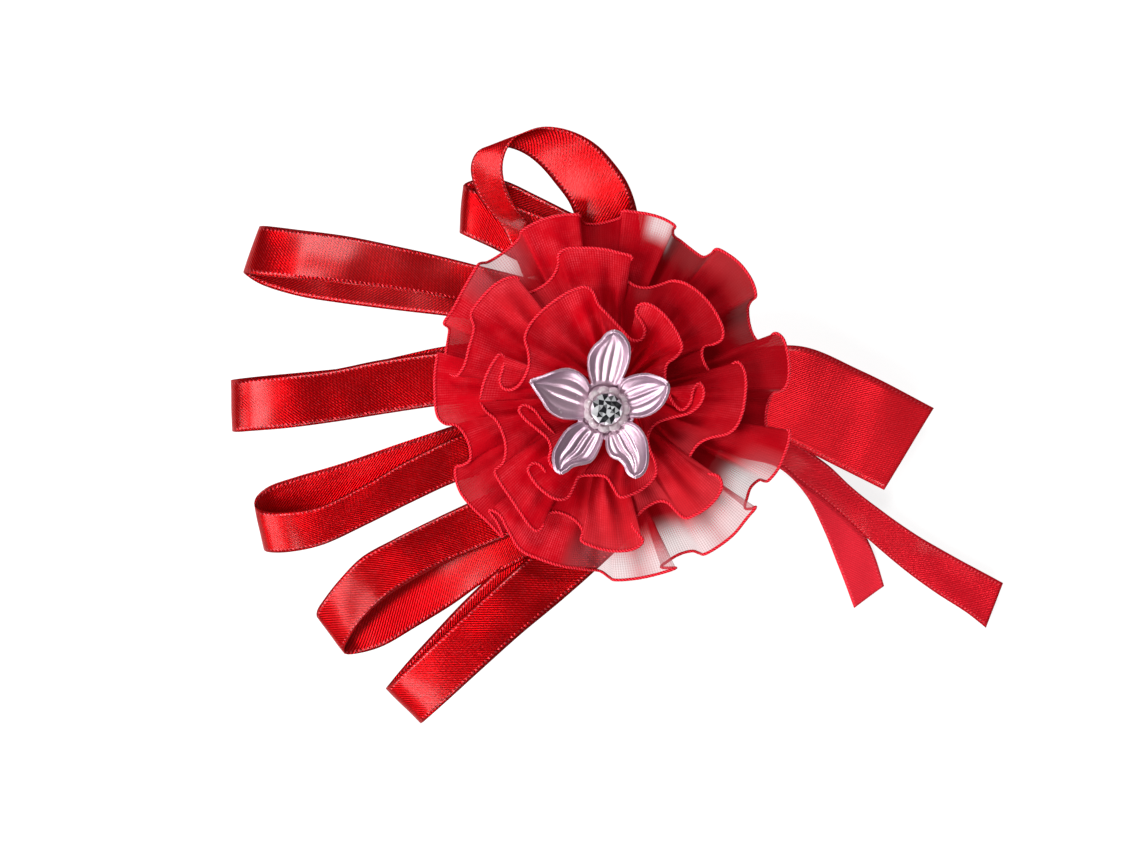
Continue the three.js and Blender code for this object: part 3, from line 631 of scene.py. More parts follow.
# %% Curled loop and low loop
curl = satin_ribbon("ribbon_curl", read([
    ((638, 292, 5.3), (590, 297, 5.3)), ((640, 258, 5.3), (588, 264, 5.2)),
    ((640, 232, 6.0), (584, 242, 5.2)), ((636, 206, 8.4), (577, 222, 5.9)),
    ((627, 182, 10.8), (569, 202, 7.2)), ((613, 162, 12.4), (556, 184, 8.3)),
    ((597, 145, 13.8), (543, 168, 9.4)), ((579, 134, 14.5), (529, 156, 10.1)),
    ((560, 128, 14.9), (515, 149, 10.7)), ((543, 127, 15.1), (501, 146, 11.1)),
    ((528, 131, 14.9), (488, 147, 11.1)), ((515, 138, 14.2), (478, 151, 10.5)),
    ((507, 149, 13.4), (472, 161, 9.5)), ((503, 162, 12.4), (471, 172, 8.4)),
    ((503, 175, 11.4), (474, 184, 7.3)), ((507, 191, 9.9), (481, 199, 6.4)),
    ((515, 206, 8.4), (491, 213, 5.7)), ((527, 220, 6.8), (503, 228, 5.3)),
    ((540, 240, 5.6), (512, 248, 5.3)), ((556, 272, 5.3), (524, 278, 5.3)),
]), NARROW, narrow_satin, ["curl_loop"], "folded", "upper_felt", wave=0.25, seed=11)
bend_middle = turned(-10.3, 42.35, 5.2)
bend_half = turned(-0.216, 0.976, 0) * 3
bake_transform(curl)

low = satin_ribbon("ribbon_low_loop", read([
    ((640, 250, 4.4), (625, 300, 4.4)), ((590, 232, 4.4), (575, 284, 4.4)),
    ((540, 214, 4.35), (524, 264, 4.35)), ((500, 199, 4.3), (490, 247, 4.2)),
    ((480, 191, 4.2), (470, 238, 4.0)), ((468, 187, 3.6), (462, 234, 3.2)),
    ((464, 185, 2.4), (460, 232, 1.8)), ((470, 181, 1.5), (466, 228, 0.9)),
    ((490, 178, 1.3), (482, 226, 0.8)), ((506, 181, 1.6), (497, 229, 1.2)),
    ((538, 196, 2.4), (524, 244, 2.2)), ((570, 212, 3.3), (556, 262, 3.3)),
    ((600, 226, 3.6), (586, 276, 3.6)),
]), NARROW, narrow_satin, ["top_loop"], "folded", "upper_felt", wave=0.2, seed=12)
start, end = across_bend(164, way=23.6, side=-30.8, before=1.5, past=3, height=4)
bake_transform(low)

# %% [markdown]
# The organza is one long sheer ribbon, gathered along one edge and wound round the middle. It
# could be simulated, but the folds of this one are known, so its edge is a smooth curve through
# places read one by one, each with its height share, and the cloth is drawn from there down to
# the gathered seam, with fine pleats that fade towards the edge.

# %% Edges of the three turns
OUTER_EDGE = [
    (438, 352, 1), (435, 372, 1), (435, 396, 1), (438, 417, 1), (446, 424, .8), (456, 425, .7),
    (465, 435, .6), (470, 448, .5), (470, 460, .4), (463, 465, .3), (456, 467, .2),
    (456, 479, .1), (461, 493, 0), (473, 508, 0), (488, 522, .1), (503, 537, .3),
    (497, 522, .5), (489, 510, .7), (499, 514, .85), (508, 530, 1), (521, 550, 1),
    (540, 559, 1), (562, 566, .8), (585, 569, .3), (600, 571, 0), (609, 577, .4),
    (615, 580, 1), (633, 579, 1), (654, 575, 1), (676, 568, 1), (668, 568, .7),
    (661, 567, .5), (668, 561, .2), (680, 554, 0), (692, 551, 0), (699, 553, .4),
    (705, 554, 1), (719, 546, 1), (734, 534, 1), (747, 518, 1), (756, 507, 1),
    (750, 509, .7), (745, 508, .5), (747, 498, .2), (751, 487, 0), (759, 480, 0),
    (764, 481, .4), (769, 480, 1), (778, 469, 1), (785, 453, 1), (789, 440, 1),
    (789, 430, 1), (780, 435, .7), (770, 436, .5), (766, 427, .1), (766, 413, 0),
    (769, 400, 0), (774, 392, .3), (784, 389, .9), (788, 381, 1), (789, 366, 1),
    (787, 350, 1), (782, 337, 1), (775, 333, 1), (768, 340, .7), (761, 344, .4),
    (753, 335, .1), (749, 322, 0), (748, 308, 0), (751, 301, .4), (756, 295, 1),
    (752, 281, 1), (741, 265, 1), (729, 255, 1), (717, 249, 1), (711, 254, .6),
    (703, 257, .2), (692, 250, 0), (682, 242, 0), (674, 236, .3), (673, 230, .7),
    (675, 226, 1), (664, 219, 1), (648, 214, 1), (634, 212, 1), (623, 211, 1),
    (621, 217, .6), (611, 221, .2), (598, 224, 0), (586, 224, .1), (581, 220, .5),
    (579, 215, 1), (564, 215, 1), (548, 218, 1), (533, 224, 1), (522, 231, 1),
    (520, 237, .5), (513, 245, .1), (500, 255, 0), (488, 262, .1), (482, 263, .6),
    (478, 265, 1), (470, 278, 1), (461, 294, 1), (452, 311, 1), (444, 323, 1),
    (449, 328, .6), (448, 340, .1), (446, 352, 0), (445, 364, 0),
]
MIDDLE_EDGE = [
    (449, 374, 0), (456, 376, .1), (464, 366, .5), (469, 348, .7), (474, 328, .6),
    (471, 314, .4), (476, 305, .5), (485, 294, .8), (496, 284, 1), (508, 278, 1),
    (518, 278, .8), (519, 286, .5), (526, 293, .2), (538, 289, 0), (551, 279, .2),
    (558, 266, .5), (559, 254, .9), (566, 249, 1), (583, 248, 1), (602, 249, 1),
    (620, 253, 1), (632, 257, .9), (629, 263, .6), (624, 271, .3), (626, 279, .1),
    (635, 286, 0), (647, 288, 0), (660, 285, .1), (672, 281, .4), (684, 283, .7),
    (697, 291, 1), (709, 303, 1), (718, 317, 1), (723, 330, .9), (722, 339, .7),
    (714, 344, .5), (704, 346, .4), (702, 355, .2), (707, 368, 0), (715, 377, 0),
    (724, 374, .2), (731, 365, .5), (738, 362, .8), (744, 370, 1), (746, 382, 1),
    (745, 398, 1), (742, 414, 1), (736, 427, 1), (727, 434, .8), (713, 437, .6),
    (701, 442, .4), (692, 452, .2), (688, 464, .1), (690, 475, .2), (699, 477, .4),
    (710, 474, .6), (719, 477, .8), (722, 486, 1), (718, 496, 1), (709, 506, 1),
    (697, 514, 1), (685, 518, .8), (676, 511, .5), (668, 503, .2), (660, 501, .1),
    (648, 506, .2), (638, 515, .4), (632, 524, .6), (637, 532, .8), (643, 541, 1),
    (636, 548, 1), (622, 551, 1), (606, 550, 1), (592, 546, 1), (581, 540, .9),
    (583, 532, .7), (578, 523, .4), (567, 515, .2), (553, 512, .2), (543, 517, .4),
    (543, 526, .6), (537, 531, .8), (530, 526, 1), (520, 512, 1), (510, 497, .9),
    (500, 482, .7), (495, 471, .5), (503, 463, .3), (506, 450, .2), (503, 434, .2),
    (496, 420, .3), (486, 411, .4), (480, 402, .5),
]
INNER_EDGE = [
    (480, 400, .3), (483, 386, .5), (487, 374, .7), (494, 361, 1), (500, 354, 1),
    (504, 357, .8), (503, 368, .6), (500, 379, .4), (502, 387, .2), (509, 390, .2),
    (517, 387, .3), (524, 378, .5), (529, 365, .7), (528, 350, .8), (525, 338, .8),
    (530, 325, .8), (541, 312, .9), (556, 300, 1), (573, 290, 1), (586, 287, 1),
    (593, 292, .8), (598, 304, .6), (608, 315, .4), (621, 329, .3), (632, 340, .4),
    (641, 340, .6), (645, 331, .7), (641, 321, .5), (636, 313, .5), (639, 305, .8),
    (648, 304, 1), (660, 311, 1), (670, 322, 1), (678, 335, 1), (682, 348, .8),
    (676, 357, .6), (667, 364, .4), (665, 377, .2), (668, 391, .2), (674, 404, .4),
    (682, 410, .6), (690, 403, .8), (694, 388, .9), (700, 383, 1), (704, 392, 1),
    (700, 404, .8), (689, 413, .6), (670, 418, .4), (655, 424, .2), (648, 436, .1),
    (650, 450, .1), (655, 462, .3), (656, 474, .6), (645, 487, .8), (630, 495, .9),
    (620, 497, 1), (613, 487, .8), (606, 477, .6), (592, 475, .4), (579, 477, .4),
    (574, 487, .6), (567, 498, .8), (556, 499, 1), (543, 491, 1), (533, 480, .9),
    (528, 469, .8), (534, 463, .6), (542, 467, .4), (550, 482, .3), (557, 484, .2),
    (556, 473, .1), (549, 460, .2), (551, 449, .3), (548, 439, .5), (537, 429, .7),
    (525, 419, .9), (519, 410, 1), (523, 405, .9), (533, 409, .7), (545, 424, .4),
    (555, 434, .2),
]
SEWN_TOP = 5.456
ORGANZA_STEP = 0.55
ORGANZA_ROWS = 26
PLEAT_WANDER = 3.0
PLEAT_SWAY = 0.35
CRUMPLE = 0.45

# Where a single layer lies over nothing: heading in degrees, half spread, how open it is, and
# from what part of the way out
SHEER_PATCHES = [
    (133, 9, 0.65, 0.0), (74, 3.5, 0.85, 0.78), (-40, 14, 0.9, 0.0), (-66, 14, 1.0, 0.0),
    (-92, 10, 1.0, 0.0),
]
# Painted shade is strongest towards this heading, on the side of the rosette that lies in shade
SHADED_HEADING = math.radians(8)


def limited(value):
    """The value, but no less than 0 and no more than 1."""
    return max(0.0, min(1.0, value))


def openness(point, out):
    """How open the cloth looks at a place on a turn, from 0 to 1."""
    heading = math.degrees(math.atan2(point.y, point.x) - TURN)
    most = 0.0
    for place, spread, share, start in SHEER_PATCHES:
        off = abs((heading - place + 180) % 360 - 180) / spread
        reach = limited((out - start) / 0.12) if start else 1.0
        most = max(most, share * reach * limited(1.6 - off))
    return most


def painted_shade_depth(tip, out, low, rise, side_shade):
    """Painted shade at a place on a turn, from 0 on a crest to 1. It is deeper in the valleys
    between the folds, near the seam and on the side that lies in shade.
    """
    lift = (tip.z / MM - low) / rise
    valley = 0.55 * (1 - limited(lift)) * min(1, out * 1.5)
    seam = 0.6 * max(0.0, 1 - out / 0.45) ** 1.2
    # Painted shade on the side of the rosette that lies in shade
    side_shaded = side_shade * max(0.0, math.cos(math.atan2(tip.y, tip.x) - SHADED_HEADING)) ** 1.3
    return limited(max(valley, seam) + side_shaded)


def gathered_turn(name, edge, low, rise, seam_radius, seam_height, pleats, seed, belly, swell,
                  side_shade):
    """One turn of gathered organza, from its seam out to its edge, and the edge's own curve."""
    points = [spot(px, py, low + share * rise) for px, py, share in edge]
    (line,), length = even([spline(points, steps_per_span=10)], ORGANZA_STEP * MM)
    angles = []
    for point in line:
        angle = math.atan2(point.y, point.x)
        while angles and angle - angles[-1] > math.pi:
            angle -= 2 * math.pi
        while angles and angle - angles[-1] < -math.pi:
            angle += 2 * math.pi
        angles.append(angle)
    first, last = angles[0], angles[-1]
    rows = []
    for i, tip in enumerate(line):
        share = i / (len(line) - 1)
        angle = first + (last - first) * share
        foot = Vector((math.cos(angle), math.sin(angle), 0)) * seam_radius * MM
        foot.z = seam_height * MM
        sideways = Vector((-math.sin(angle), math.cos(angle), 0))
        row = []
        for j in range(ORGANZA_ROWS + 1):
            t = j / ORGANZA_ROWS
            point = foot.lerp(tip, t)
            point.z += belly * MM * math.sin(math.pi * t) * (1 - t)
            wander = noise.noise(Vector((share * pleats * 0.6, seed, t * 1.2)))
            phase = share * pleats * 2 * math.pi + wander * PLEAT_WANDER
            fade = (1 - t) ** 0.9 * min(1, t * 10)
            point += Vector((0, 0, 1)) * (1 + math.sin(phase)) * fade * swell * MM
            point += sideways * math.cos(phase * 0.5 + seed) * fade * PLEAT_SWAY * MM
            crumple = noise.noise(Vector((share * pleats * 0.9, t * 3.2, seed + 5)))
            point.z += crumple * MM * CRUMPLE * math.sin(math.pi * min(1, t * 1.05))
            row.append(point)
        rows.append(row)
    width = sum((row[-1] - row[0]).length for row in rows) / len(rows)
    piece = cloth(name, rows, length / MM / (len(rows) - 1), width / MM / ORGANZA_ROWS, {
        "out": lambda i, j: j / ORGANZA_ROWS,
        "sheer": lambda i, j: openness(rows[i][-1], j / ORGANZA_ROWS),
        "painted_fold_shade": lambda i, j: painted_shade_depth(rows[i][-1], j / ORGANZA_ROWS, low, rise, side_shade),
    })
    piece["flat_length"] = length
    piece["flat_width"] = width
    return piece, [row[-1] for row in rows]


print("edges read at", len(OUTER_EDGE) + len(MIDDLE_EDGE) + len(INNER_EDGE), "places")

# %% [markdown]
# Organza is a plain open weave of very fine thread. One layer lets most of what is behind show
# through, and layers on top of each other soon turn a full red. Clear and red shaders could be
# mixed, but one shader does it alone: it covers fully towards the seam, where the cloth is
# bunched, and less where a single layer lies open. The weave is a grid of slightly paler and
# darker threads, too fine to model; the paler threads are painted brighter in soft patches, a
# painted sheen. The valleys between the folds, the cloth near the seam and one side take a
# painted shade of deeper red. Light also passes from layer to layer and keeps the deep folds
# red, for which a faint glow of its own stands.

# %% Organza finish
ORGANZA_RED = (0.45, 0.0006, 0.006, 1)
ORGANZA_SHADED = (0.21, 0.0003, 0.003, 1)
ORGANZA_PALE_THREAD_SHEEN = (1.0, 0.1, 0.14, 1)
ORGANZA_SHEER = (0.46, 0.12, 0.14, 1)
THROUGH_LIGHT = (1.0, 0.004, 0.02, 1)
THROUGH_SHARE = 0.05
WARP_PITCH, WEFT_PITCH = 0.6, 0.5
SEAM_COVER = 1.04
OPEN_TO = 0.92


def organza_finish(name, thin, thin_most, open_share):
    """Organza that covers by thin near its edge, and by thin_most where it lies most open."""
    finish = Finish(name)
    along, across = finish.cloth_place()
    out = finish.kept("out")
    sheer = finish.kept("sheer")
    painted_fold_shade = finish.kept("painted_fold_shade")
    grid = (along.stripes(WARP_PITCH) * 0.65 + across.stripes(WEFT_PITCH) * 0.35).ramp(-1, 1)
    blotch = finish.clouds(130.0, 4.0, 0.6)
    specks = finish.clouds(1500.0, 2.0)
    lengthwise = finish.node("CombineXYZ", {}, {0: along * 0.55, 1: across * 0.06})
    streak = finish.clouds(1.0, 2.0, place=lengthwise)
    # Painted sheen: the paler threads show brighter in soft blotches and lengthwise streaks, and
    # more towards the edge
    glow = (blotch.ramp(0.36, 0.78) * 0.7 + streak.ramp(0.5, 0.8) * 0.3).clamped()
    pale_weave_and_sheen = (grid.power(2) * 0.54 + specks.ramp(0.45, 0.7) * 0.12) * glow * (0.6 + out * 0.6)
    # Painted shade: valleys, the seam and the shaded side are mixed to a deep red, and the painted
    # sheen of the paler threads is left out there
    body = finish.mix(painted_fold_shade, ORGANZA_RED, ORGANZA_SHADED)
    colour = finish.mix((pale_weave_and_sheen * (1 - painted_fold_shade)).clamped(), body, ORGANZA_PALE_THREAD_SHEEN)
    opening = out.ramp(open_share, OPEN_TO)
    clear = sheer * opening * (1 - thin_most)
    colour = finish.mix((clear * 1.5).clamped(), colour, ORGANZA_SHEER)
    edge_cover = thin + (thin_most - thin) * sheer
    cover = SEAM_COVER + (edge_cover - SEAM_COVER) * opening
    cover = cover + ((grid - 0.5) * 0.2 + (blotch - 0.5) * 0.14) * (sheer * 0.8 + 0.2)
    finish.shader({
        "Base Color": colour,
        "Roughness": 0.5,
        "IOR": 1.3,
        "Specular IOR Level": 0.15,
        "Specular Tint": (1.0, 0.3, 0.3, 1),
        "Emission Color": THROUGH_LIGHT,
        "Emission Strength": THROUGH_SHARE,
        "Alpha": cover.clamped(),
        "Normal": finish.bump(grid + specks * 0.6, 0.00005, 0.5),
    })
    return finish.material


outer_organza = organza_finish("organza_outer", thin=0.98, thin_most=0.36, open_share=0.58)
middle_organza = organza_finish("organza_middle", thin=0.98, thin_most=0.93, open_share=0.35)
inner_organza = organza_finish("organza_inner", thin=0.99, thin_most=0.97, open_share=0.35)
print("organza finishes ready")

# %% [markdown]
# The free edge of the organza is bound with closely set satin stitches, which look like a thin
# twisted cord. A cord of that shape follows each edge, its stitches drawn as slanting ridges.

# %% Bound edge
EDGE_RADIUS = 0.34
EDGE_SIDES = 8
EDGE_ROUND = 1.7
EDGE_PITCH = 0.72

edge_finish = Finish("bound_edge")
edge_along, edge_around = edge_finish.cloth_place()
stitch = (edge_along + edge_around * 0.9).stripes(EDGE_PITCH)
edge_finish.shader({
    "Base Color": edge_finish.mix(
        stitch.ramp(-0.3, 0.9), (0.66, 0.003, 0.013, 1), (1.0, 0.05, 0.08, 1)),
    "Roughness": 0.45,
    "IOR": 1.3,
    "Specular IOR Level": 0.3,
    "Specular Tint": (1.0, 0.4, 0.4, 1),
    "Normal": edge_finish.bump(stitch, 0.00009, 0.8),
})


def close_tube(piece):
    """Merges the seam of a tube and fills its ends."""
    only(piece)
    bpy.ops.object.mode_set(mode="EDIT")
    bpy.ops.mesh.select_all(action="SELECT")
    bpy.ops.mesh.remove_doubles(threshold=1e-6)
    bpy.ops.mesh.select_all(action="DESELECT")
    bpy.ops.mesh.select_non_manifold()
    bpy.ops.mesh.edge_face_add()
    bpy.ops.mesh.select_all(action="SELECT")
    bpy.ops.mesh.normals_make_consistent(inside=False)
    bpy.ops.object.mode_set(mode="OBJECT")


def bound_cord(name, tips, seed):
    """A thin stitched cord that follows the edge of the cloth."""
    rows = []
    last = len(tips) - 1
    for i, tip in enumerate(tips):
        ahead = (tips[min(i + 1, last)] - tips[max(i - 1, 0)]).normalized()
        side = ahead.cross(Vector((0, 0, 1))).normalized()
        lift = side.cross(ahead)
        pinch = min(1.0, 0.4 + min(i, last - i) * 0.2)
        swell = 1 + 0.12 * noise.noise(Vector((i * 0.7, seed, 0)))
        row = []
        for k in range(EDGE_SIDES + 1):
            turn = 2 * math.pi * k / EDGE_SIDES
            row.append(tip + (side * math.cos(turn) + lift * math.sin(turn))
                       * EDGE_RADIUS * MM * pinch * swell)
        rows.append(row)
    made = cloth(name, rows, ORGANZA_STEP, EDGE_ROUND / EDGE_SIDES)
    close_tube(made)
    made.data.materials.append(edge_finish.material)
    return made


# Each turn: its word and edge, the height of its lowest edge points and how much higher the
# highest are, the seam's radius and height, its pleats and finish, how far the cloth bellies
# up, how far its pleats stand, and how much painted shade its shaded side takes
TURNS = [
    ("outer", OUTER_EDGE, SEWN_TOP + 1.0, 6.3, 14.0, 6.4, 46, outer_organza, 1.6, 1.45, 0.85),
    ("middle", MIDDLE_EDGE, SEWN_TOP + 9.2, 3.4, 9.0, 8.8, 34, middle_organza, 1.0, 1.8, 0.7),
    ("inner", INNER_EDGE, SEWN_TOP + 14.4, 3.0, 5.0, 10.6, 28, inner_organza, 0.4, 2.4, 0.0),
]
for index, (word, edge, low, rise, radius, height, pleats, finish, *form) in enumerate(TURNS):
    turn, tips = gathered_turn(
        f"organza_{word}", edge, low, rise, radius, height, pleats, index * 3.1, *form)
    turn.data.materials.append(finish)
    binding = bound_cord(f"bound_edge_{word}", tips, index)
    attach(turn, FIXED)
    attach(binding, FIXED)
    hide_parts(f"{word}_turn")
    area = sum(polygon.area for polygon in turn.data.polygons)
    share = area / (turn["flat_width"] * turn["flat_length"])
    print(word, "turn:", round(turn["flat_length"] * 1000), "mm long, area", round(share, 2))

# %% [markdown]
# The wide ribbon passes between the two felts, down both sides of the wrist, and its ends lap
# under it. The path is the one of the solids, with a slow ripple across the width.

# %% Wide ribbon round the wrist
BAND_PATH = [
    (10.8, -41.7), (0, -42.5), (-14.1, -39.6), (-24.3, -32.0), (-28.2, -21.0), (-29.0, -10.5),
    (-29.6, -1.4), (-28.3, 1.95), (-26.6, 1.95), (0, 1.95), (26.6, 1.95), (28.3, 1.95),
    (29.6, -1.4), (29.0, -10.5), (28.2, -21.0), (24.3, -32.8), (14.1, -40.4), (0, -43.3),
    (-10.8, -42.5),
]
band = satin_ribbon("wide_ribbon", [
    (Vector((-WIDE / 2, y, z)) * MM, Vector((WIDE / 2, y, z)) * MM) for y, z in BAND_PATH
], WIDE, wide_satin, ["wrist_ribbon"], "stretched", "upper_felt", wave=0.1, seed=21, step=1.1)
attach(band, FIXED)

# %% [markdown]
# Under the wrist a turn of ribbon is drawn tight round the wide one, and the knot sits on it.
# A tied knot could be traced turn by turn, but tight satin closes to one lump with furrows, so
# the lump is a ball pressed flat whose surface follows the furrows.

# %% Wrap and knot
WRAP_PATH = [
    (0, -44.5), (6, -44.5), (12.3, -44.4), (13.4, -43.7), (13.4, -42.0), (12.3, -41.1),
    (0, -41.0), (-12.3, -41.1), (-13.4, -42.0), (-13.4, -43.7), (-12.3, -44.4), (-6, -44.5),
    (0, -44.5),
]
WRAP_HALF = 4.1
WRAP_FLAT = 10.5  # of the ribbon's 12 mm, once it is drawn together
wrap = satin_ribbon("wrap_ribbon", [
    (Vector((x, -WRAP_HALF, z)) * MM, Vector((x, WRAP_HALF, z)) * MM) for x, z in WRAP_PATH
], NARROW, narrow_satin, ["knot_wrap"], "gathered", "wide_ribbon", flat_width=WRAP_FLAT,
    wave=0.1, seed=22, step=0.7)
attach(wrap, FIXED)

KNOT_PLACE = Vector((8, 1, -47.65)) * MM
KNOT_SIZES = Vector((5.5, 5.5, 2.6)) * MM
FURROWS, FURROW_TWIST = 3.5, 2.4
KNOT_CORE, FURROW_DEPTH, LUMP_HEIGHT = 0.90, 0.09, 0.05
bpy.ops.mesh.primitive_uv_sphere_add(segments=128, ring_count=64, radius=1)
knot = bpy.context.object
knot.name = "ribbon_knot"
for vertex in knot.data.vertices:
    x, y, z = vertex.co
    around = math.atan2(z, y)
    furrow = abs(math.sin(around * FURROWS + x * FURROW_TWIST)) ** 0.5
    lump = noise.noise(Vector((x * 1.4, y * 1.4, z * 1.4)))
    swell = KNOT_CORE + FURROW_DEPTH * furrow + LUMP_HEIGHT * lump
    vertex.co = Vector((x * KNOT_SIZES.x, y * KNOT_SIZES.y, z * KNOT_SIZES.z)) * swell + KNOT_PLACE
smooth(knot.data)
knot_finish = Finish("satin_knot")
wisp = knot_finish.clouds(700.0, 3.0)
knot_finish.shader({
    "Base Color": knot_finish.mix(wisp.ramp(0.35, 0.7), SATIN_RED, SATIN_DEEP),
    "Roughness": 0.42,
    "Sheen Weight": 0.25,
    "Normal": knot_finish.bump(wisp, 0.0001, 0.4),
})
knot.data.materials.append(knot_finish.material)
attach(knot, FIXED)
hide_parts("tie_knot")
print("wrap and knot made")

# %% [markdown]
# The ends of the ribbon that was tied hang from the knot. Each is a single ribbon, cut on the
# slant or square. The two long edges are read apart, because a hanging ribbon ripples more
# on one edge than on the other. The three lie at three levels, so that none passes through
# another when it swings.

# %% Hanging ends
def between_edges(first, second, spans):
    """The same number of pairs of points on two edges that were read separately."""
    lines = []
    for edge in (first, second):
        dense = spline([spot(*point) for point in edge])
        (even_line,), _ = even([dense], 0.5 * MM)
        picked = []
        for k in range(spans + 1):
            place = k / spans * (len(even_line) - 1)
            low_index = min(int(place), len(even_line) - 2)
            picked.append(even_line[low_index].lerp(even_line[low_index + 1], place - low_index))
        lines.append(picked)
    return list(zip(*lines))


# Each end: its name, body and node, its width and finish, and its two edges from the knot out
TAILS = [
    ("long_end", "long_tail", "long_tail", NARROW, end_satin, [
        (644, 380, -47.4), (676, 384, -47.2), (706, 398, -46.9), (752, 421, -46.6),
        (799, 445, -46.4), (828, 465, -46.2), (847, 483, -46.2), (878, 508, -46.3),
        (903, 526, -46.5), (940, 549, -46.8), (975, 568, -47.0), (1003, 583, -47.2),
    ], [
        (634, 394, -47.8), (660, 414, -48.0), (688, 430, -48.3), (738, 450, -48.8),
        (781, 465, -49.3), (798, 479, -49.5), (829, 504, -49.6), (866, 537, -49.6),
        (901, 567, -49.6), (938, 594, -49.5), (966, 612, -49.4), (986, 628, -49.3),
    ]),
    ("short_end", "short_tail", "short_tail", NARROW, reverse_satin, [
        (643, 380, -49.2), (702, 398, -50.2), (756, 422, -51.0), (804, 450, -51.6),
        (844, 495, -52.0), (866, 536, -52.1), (877, 562, -52.2), (884, 586, -52.2),
    ], [
        (634, 394, -49.2), (684, 430, -50.0), (736, 456, -50.6), (779, 468, -50.7),
        (806, 495, -50.7), (825, 532, -50.6), (839, 567, -50.6), (854, 608, -50.7),
    ]),
    ("wide_end_ribbon", "wide_ribbon_end", "wide_end", WIDE, wide_satin, [
        (644, 380, -46.2), (675, 366, -45.6), (735, 352, -44.6), (800, 346, -44.2),
        (860, 370, -44.2), (934, 408, -44.6),
    ], [
        (640, 391, -46.2), (668, 398, -45.8), (724, 414, -44.8), (784, 440, -44.4),
        (836, 466, -44.4), (884, 490, -44.8),
    ]),
]
for name, body, node, width, finish, first, second in TAILS:
    pairs = between_edges(first, second, spans=36)
    end = satin_ribbon(
        name, pairs, width, finish, [node], "hung", "ribbon_knot",
        wave=0.45, seed=len(name), step=0.8)
    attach(end, body)

# %% [markdown]
# Two round felts hold the sewing from below. They are plain discs with a soft edge. Their nap is
# too fine to model, so it is a bump of many small wisps.

# %% Felts
FELT_INSET = 0.1
RIM_SOFT = 0.35
RIM_FROM = 20.0  # from the middle
RIM_WEAR, RIM_WOBBLE = 0.10, 0.12

felt_finish = Finish("red_felt")
nap = felt_finish.clouds(1400.0, 5.0, 0.7)
tufts = felt_finish.clouds(240.0, 3.0)
felt_finish.shader({
    "Base Color": felt_finish.mix(
        (nap * 0.6 + tufts * 0.4).ramp(0.35, 0.65),
        (0.30, 0.008, 0.012, 1), (0.52, 0.02, 0.03, 1)),
    "Roughness": 0.95,
    "Specular IOR Level": 0.2,
    "Sheen Weight": 0.5,
    "Sheen Roughness": 0.5,
    "Normal": felt_finish.bump(nap, 0.0003, 0.8),
})
for name, node in (("lower_felt", "closing_felt"), ("upper_felt", "base_felt")):
    low_corner, high_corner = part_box(node)
    across = high_corner.x - low_corner.x
    bpy.ops.mesh.primitive_cylinder_add(
        vertices=160, radius=across / 2 - FELT_INSET * MM, depth=high_corner.z - low_corner.z,
        location=(low_corner + high_corner) / 2)
    felt = bpy.context.object
    felt.name = name
    bpy.ops.object.transform_apply(location=True, rotation=True, scale=True)
    modified(felt, "BEVEL", width=RIM_SOFT * MM, segments=3, limit_method="ANGLE")
    for vertex in felt.data.vertices:
        wobble = noise.noise(vertex.co * 900)
        flat_way = Vector((vertex.co.x, vertex.co.y, 0))
        if flat_way.length > RIM_FROM * MM:
            vertex.co -= flat_way.normalized() * (RIM_WEAR + RIM_WOBBLE * wobble) * MM
    for polygon in felt.data.polygons:
        polygon.use_smooth = abs(polygon.normal.z) < 0.9
    felt.data.materials.append(felt_finish.material)
    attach(felt, FIXED)
    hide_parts(node)
print("felts made")

# %% [markdown]
# The seams of the three turns are bunched round the middle in small tight pleats. They show only
# as a dark red mass deep between the folds, so one pleated body stands for them.

# %% Gathered seams
SEAM_PROFILE = [
    (0.02, 5.9), (12.6, 5.9), (13.2, 6.2), (13.0, 6.7), (9.2, 7.4), (8.5, 7.9), (8.3, 9.0),
    (5.0, 9.9), (4.3, 10.6), (4.1, 14.0), (4.1, 20.0), (4.0, 23.5), (3.6, 23.8), (0.02, 23.8),
]
SEAM_STEPS = 480
SEAM_SPACING = 0.4
BROAD_FROM, BROAD_PLEATS, SLIM_PLEATS = 7, 44, 26
PLEAT_DEPTH, PLEAT_HEIGHT = 0.3, 0.25

seam_line = spline([Vector((r, 0, z)) for r, z in SEAM_PROFILE], steps_per_span=10)
(profile,), _ = even([seam_line], SEAM_SPACING)
rows = []
for i in range(SEAM_STEPS + 1):
    angle = 2 * math.pi * i / SEAM_STEPS
    row = []
    for point in profile:
        radius = max(point.x, 0.02)
        pleats = BROAD_PLEATS if radius > BROAD_FROM else SLIM_PLEATS
        near_axis = min(1, radius / 4)
        wander = noise.noise(Vector((math.cos(angle) * 3, math.sin(angle) * 3, point.z * 0.3)))
        depth = PLEAT_DEPTH * near_axis * abs(math.sin(angle * pleats / 2 + wander * 4))
        height = PLEAT_HEIGHT * near_axis * math.sin(angle * pleats + wander * 5)
        lift = height if 6 < point.z < 23 else 0
        row.append(Vector((
            math.cos(angle) * (radius - depth), math.sin(angle) * (radius - depth),
            point.z + lift * 0.5,
        )) * MM)
    rows.append(row)
seams = cloth("gathered_seams", rows, along=0.1, across=SEAM_SPACING)
close_tube(seams)
seam_finish = Finish("organza_bunched")
crease = seam_finish.clouds(420.0, 4.0)
seam_finish.shader({
    "Base Color": seam_finish.mix(
        crease.ramp(0.35, 0.65), (0.30, 0.002, 0.006, 1), (0.55, 0.006, 0.014, 1)),
    "Roughness": 0.6,
    "Emission Color": THROUGH_LIGHT,
    "Emission Strength": THROUGH_SHARE,
    "Normal": seam_finish.bump(crease, 0.0002, 0.5),
})
seams.data.materials.append(seam_finish.material)
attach(seams, FIXED)
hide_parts("gathered_core")
print("seams made")

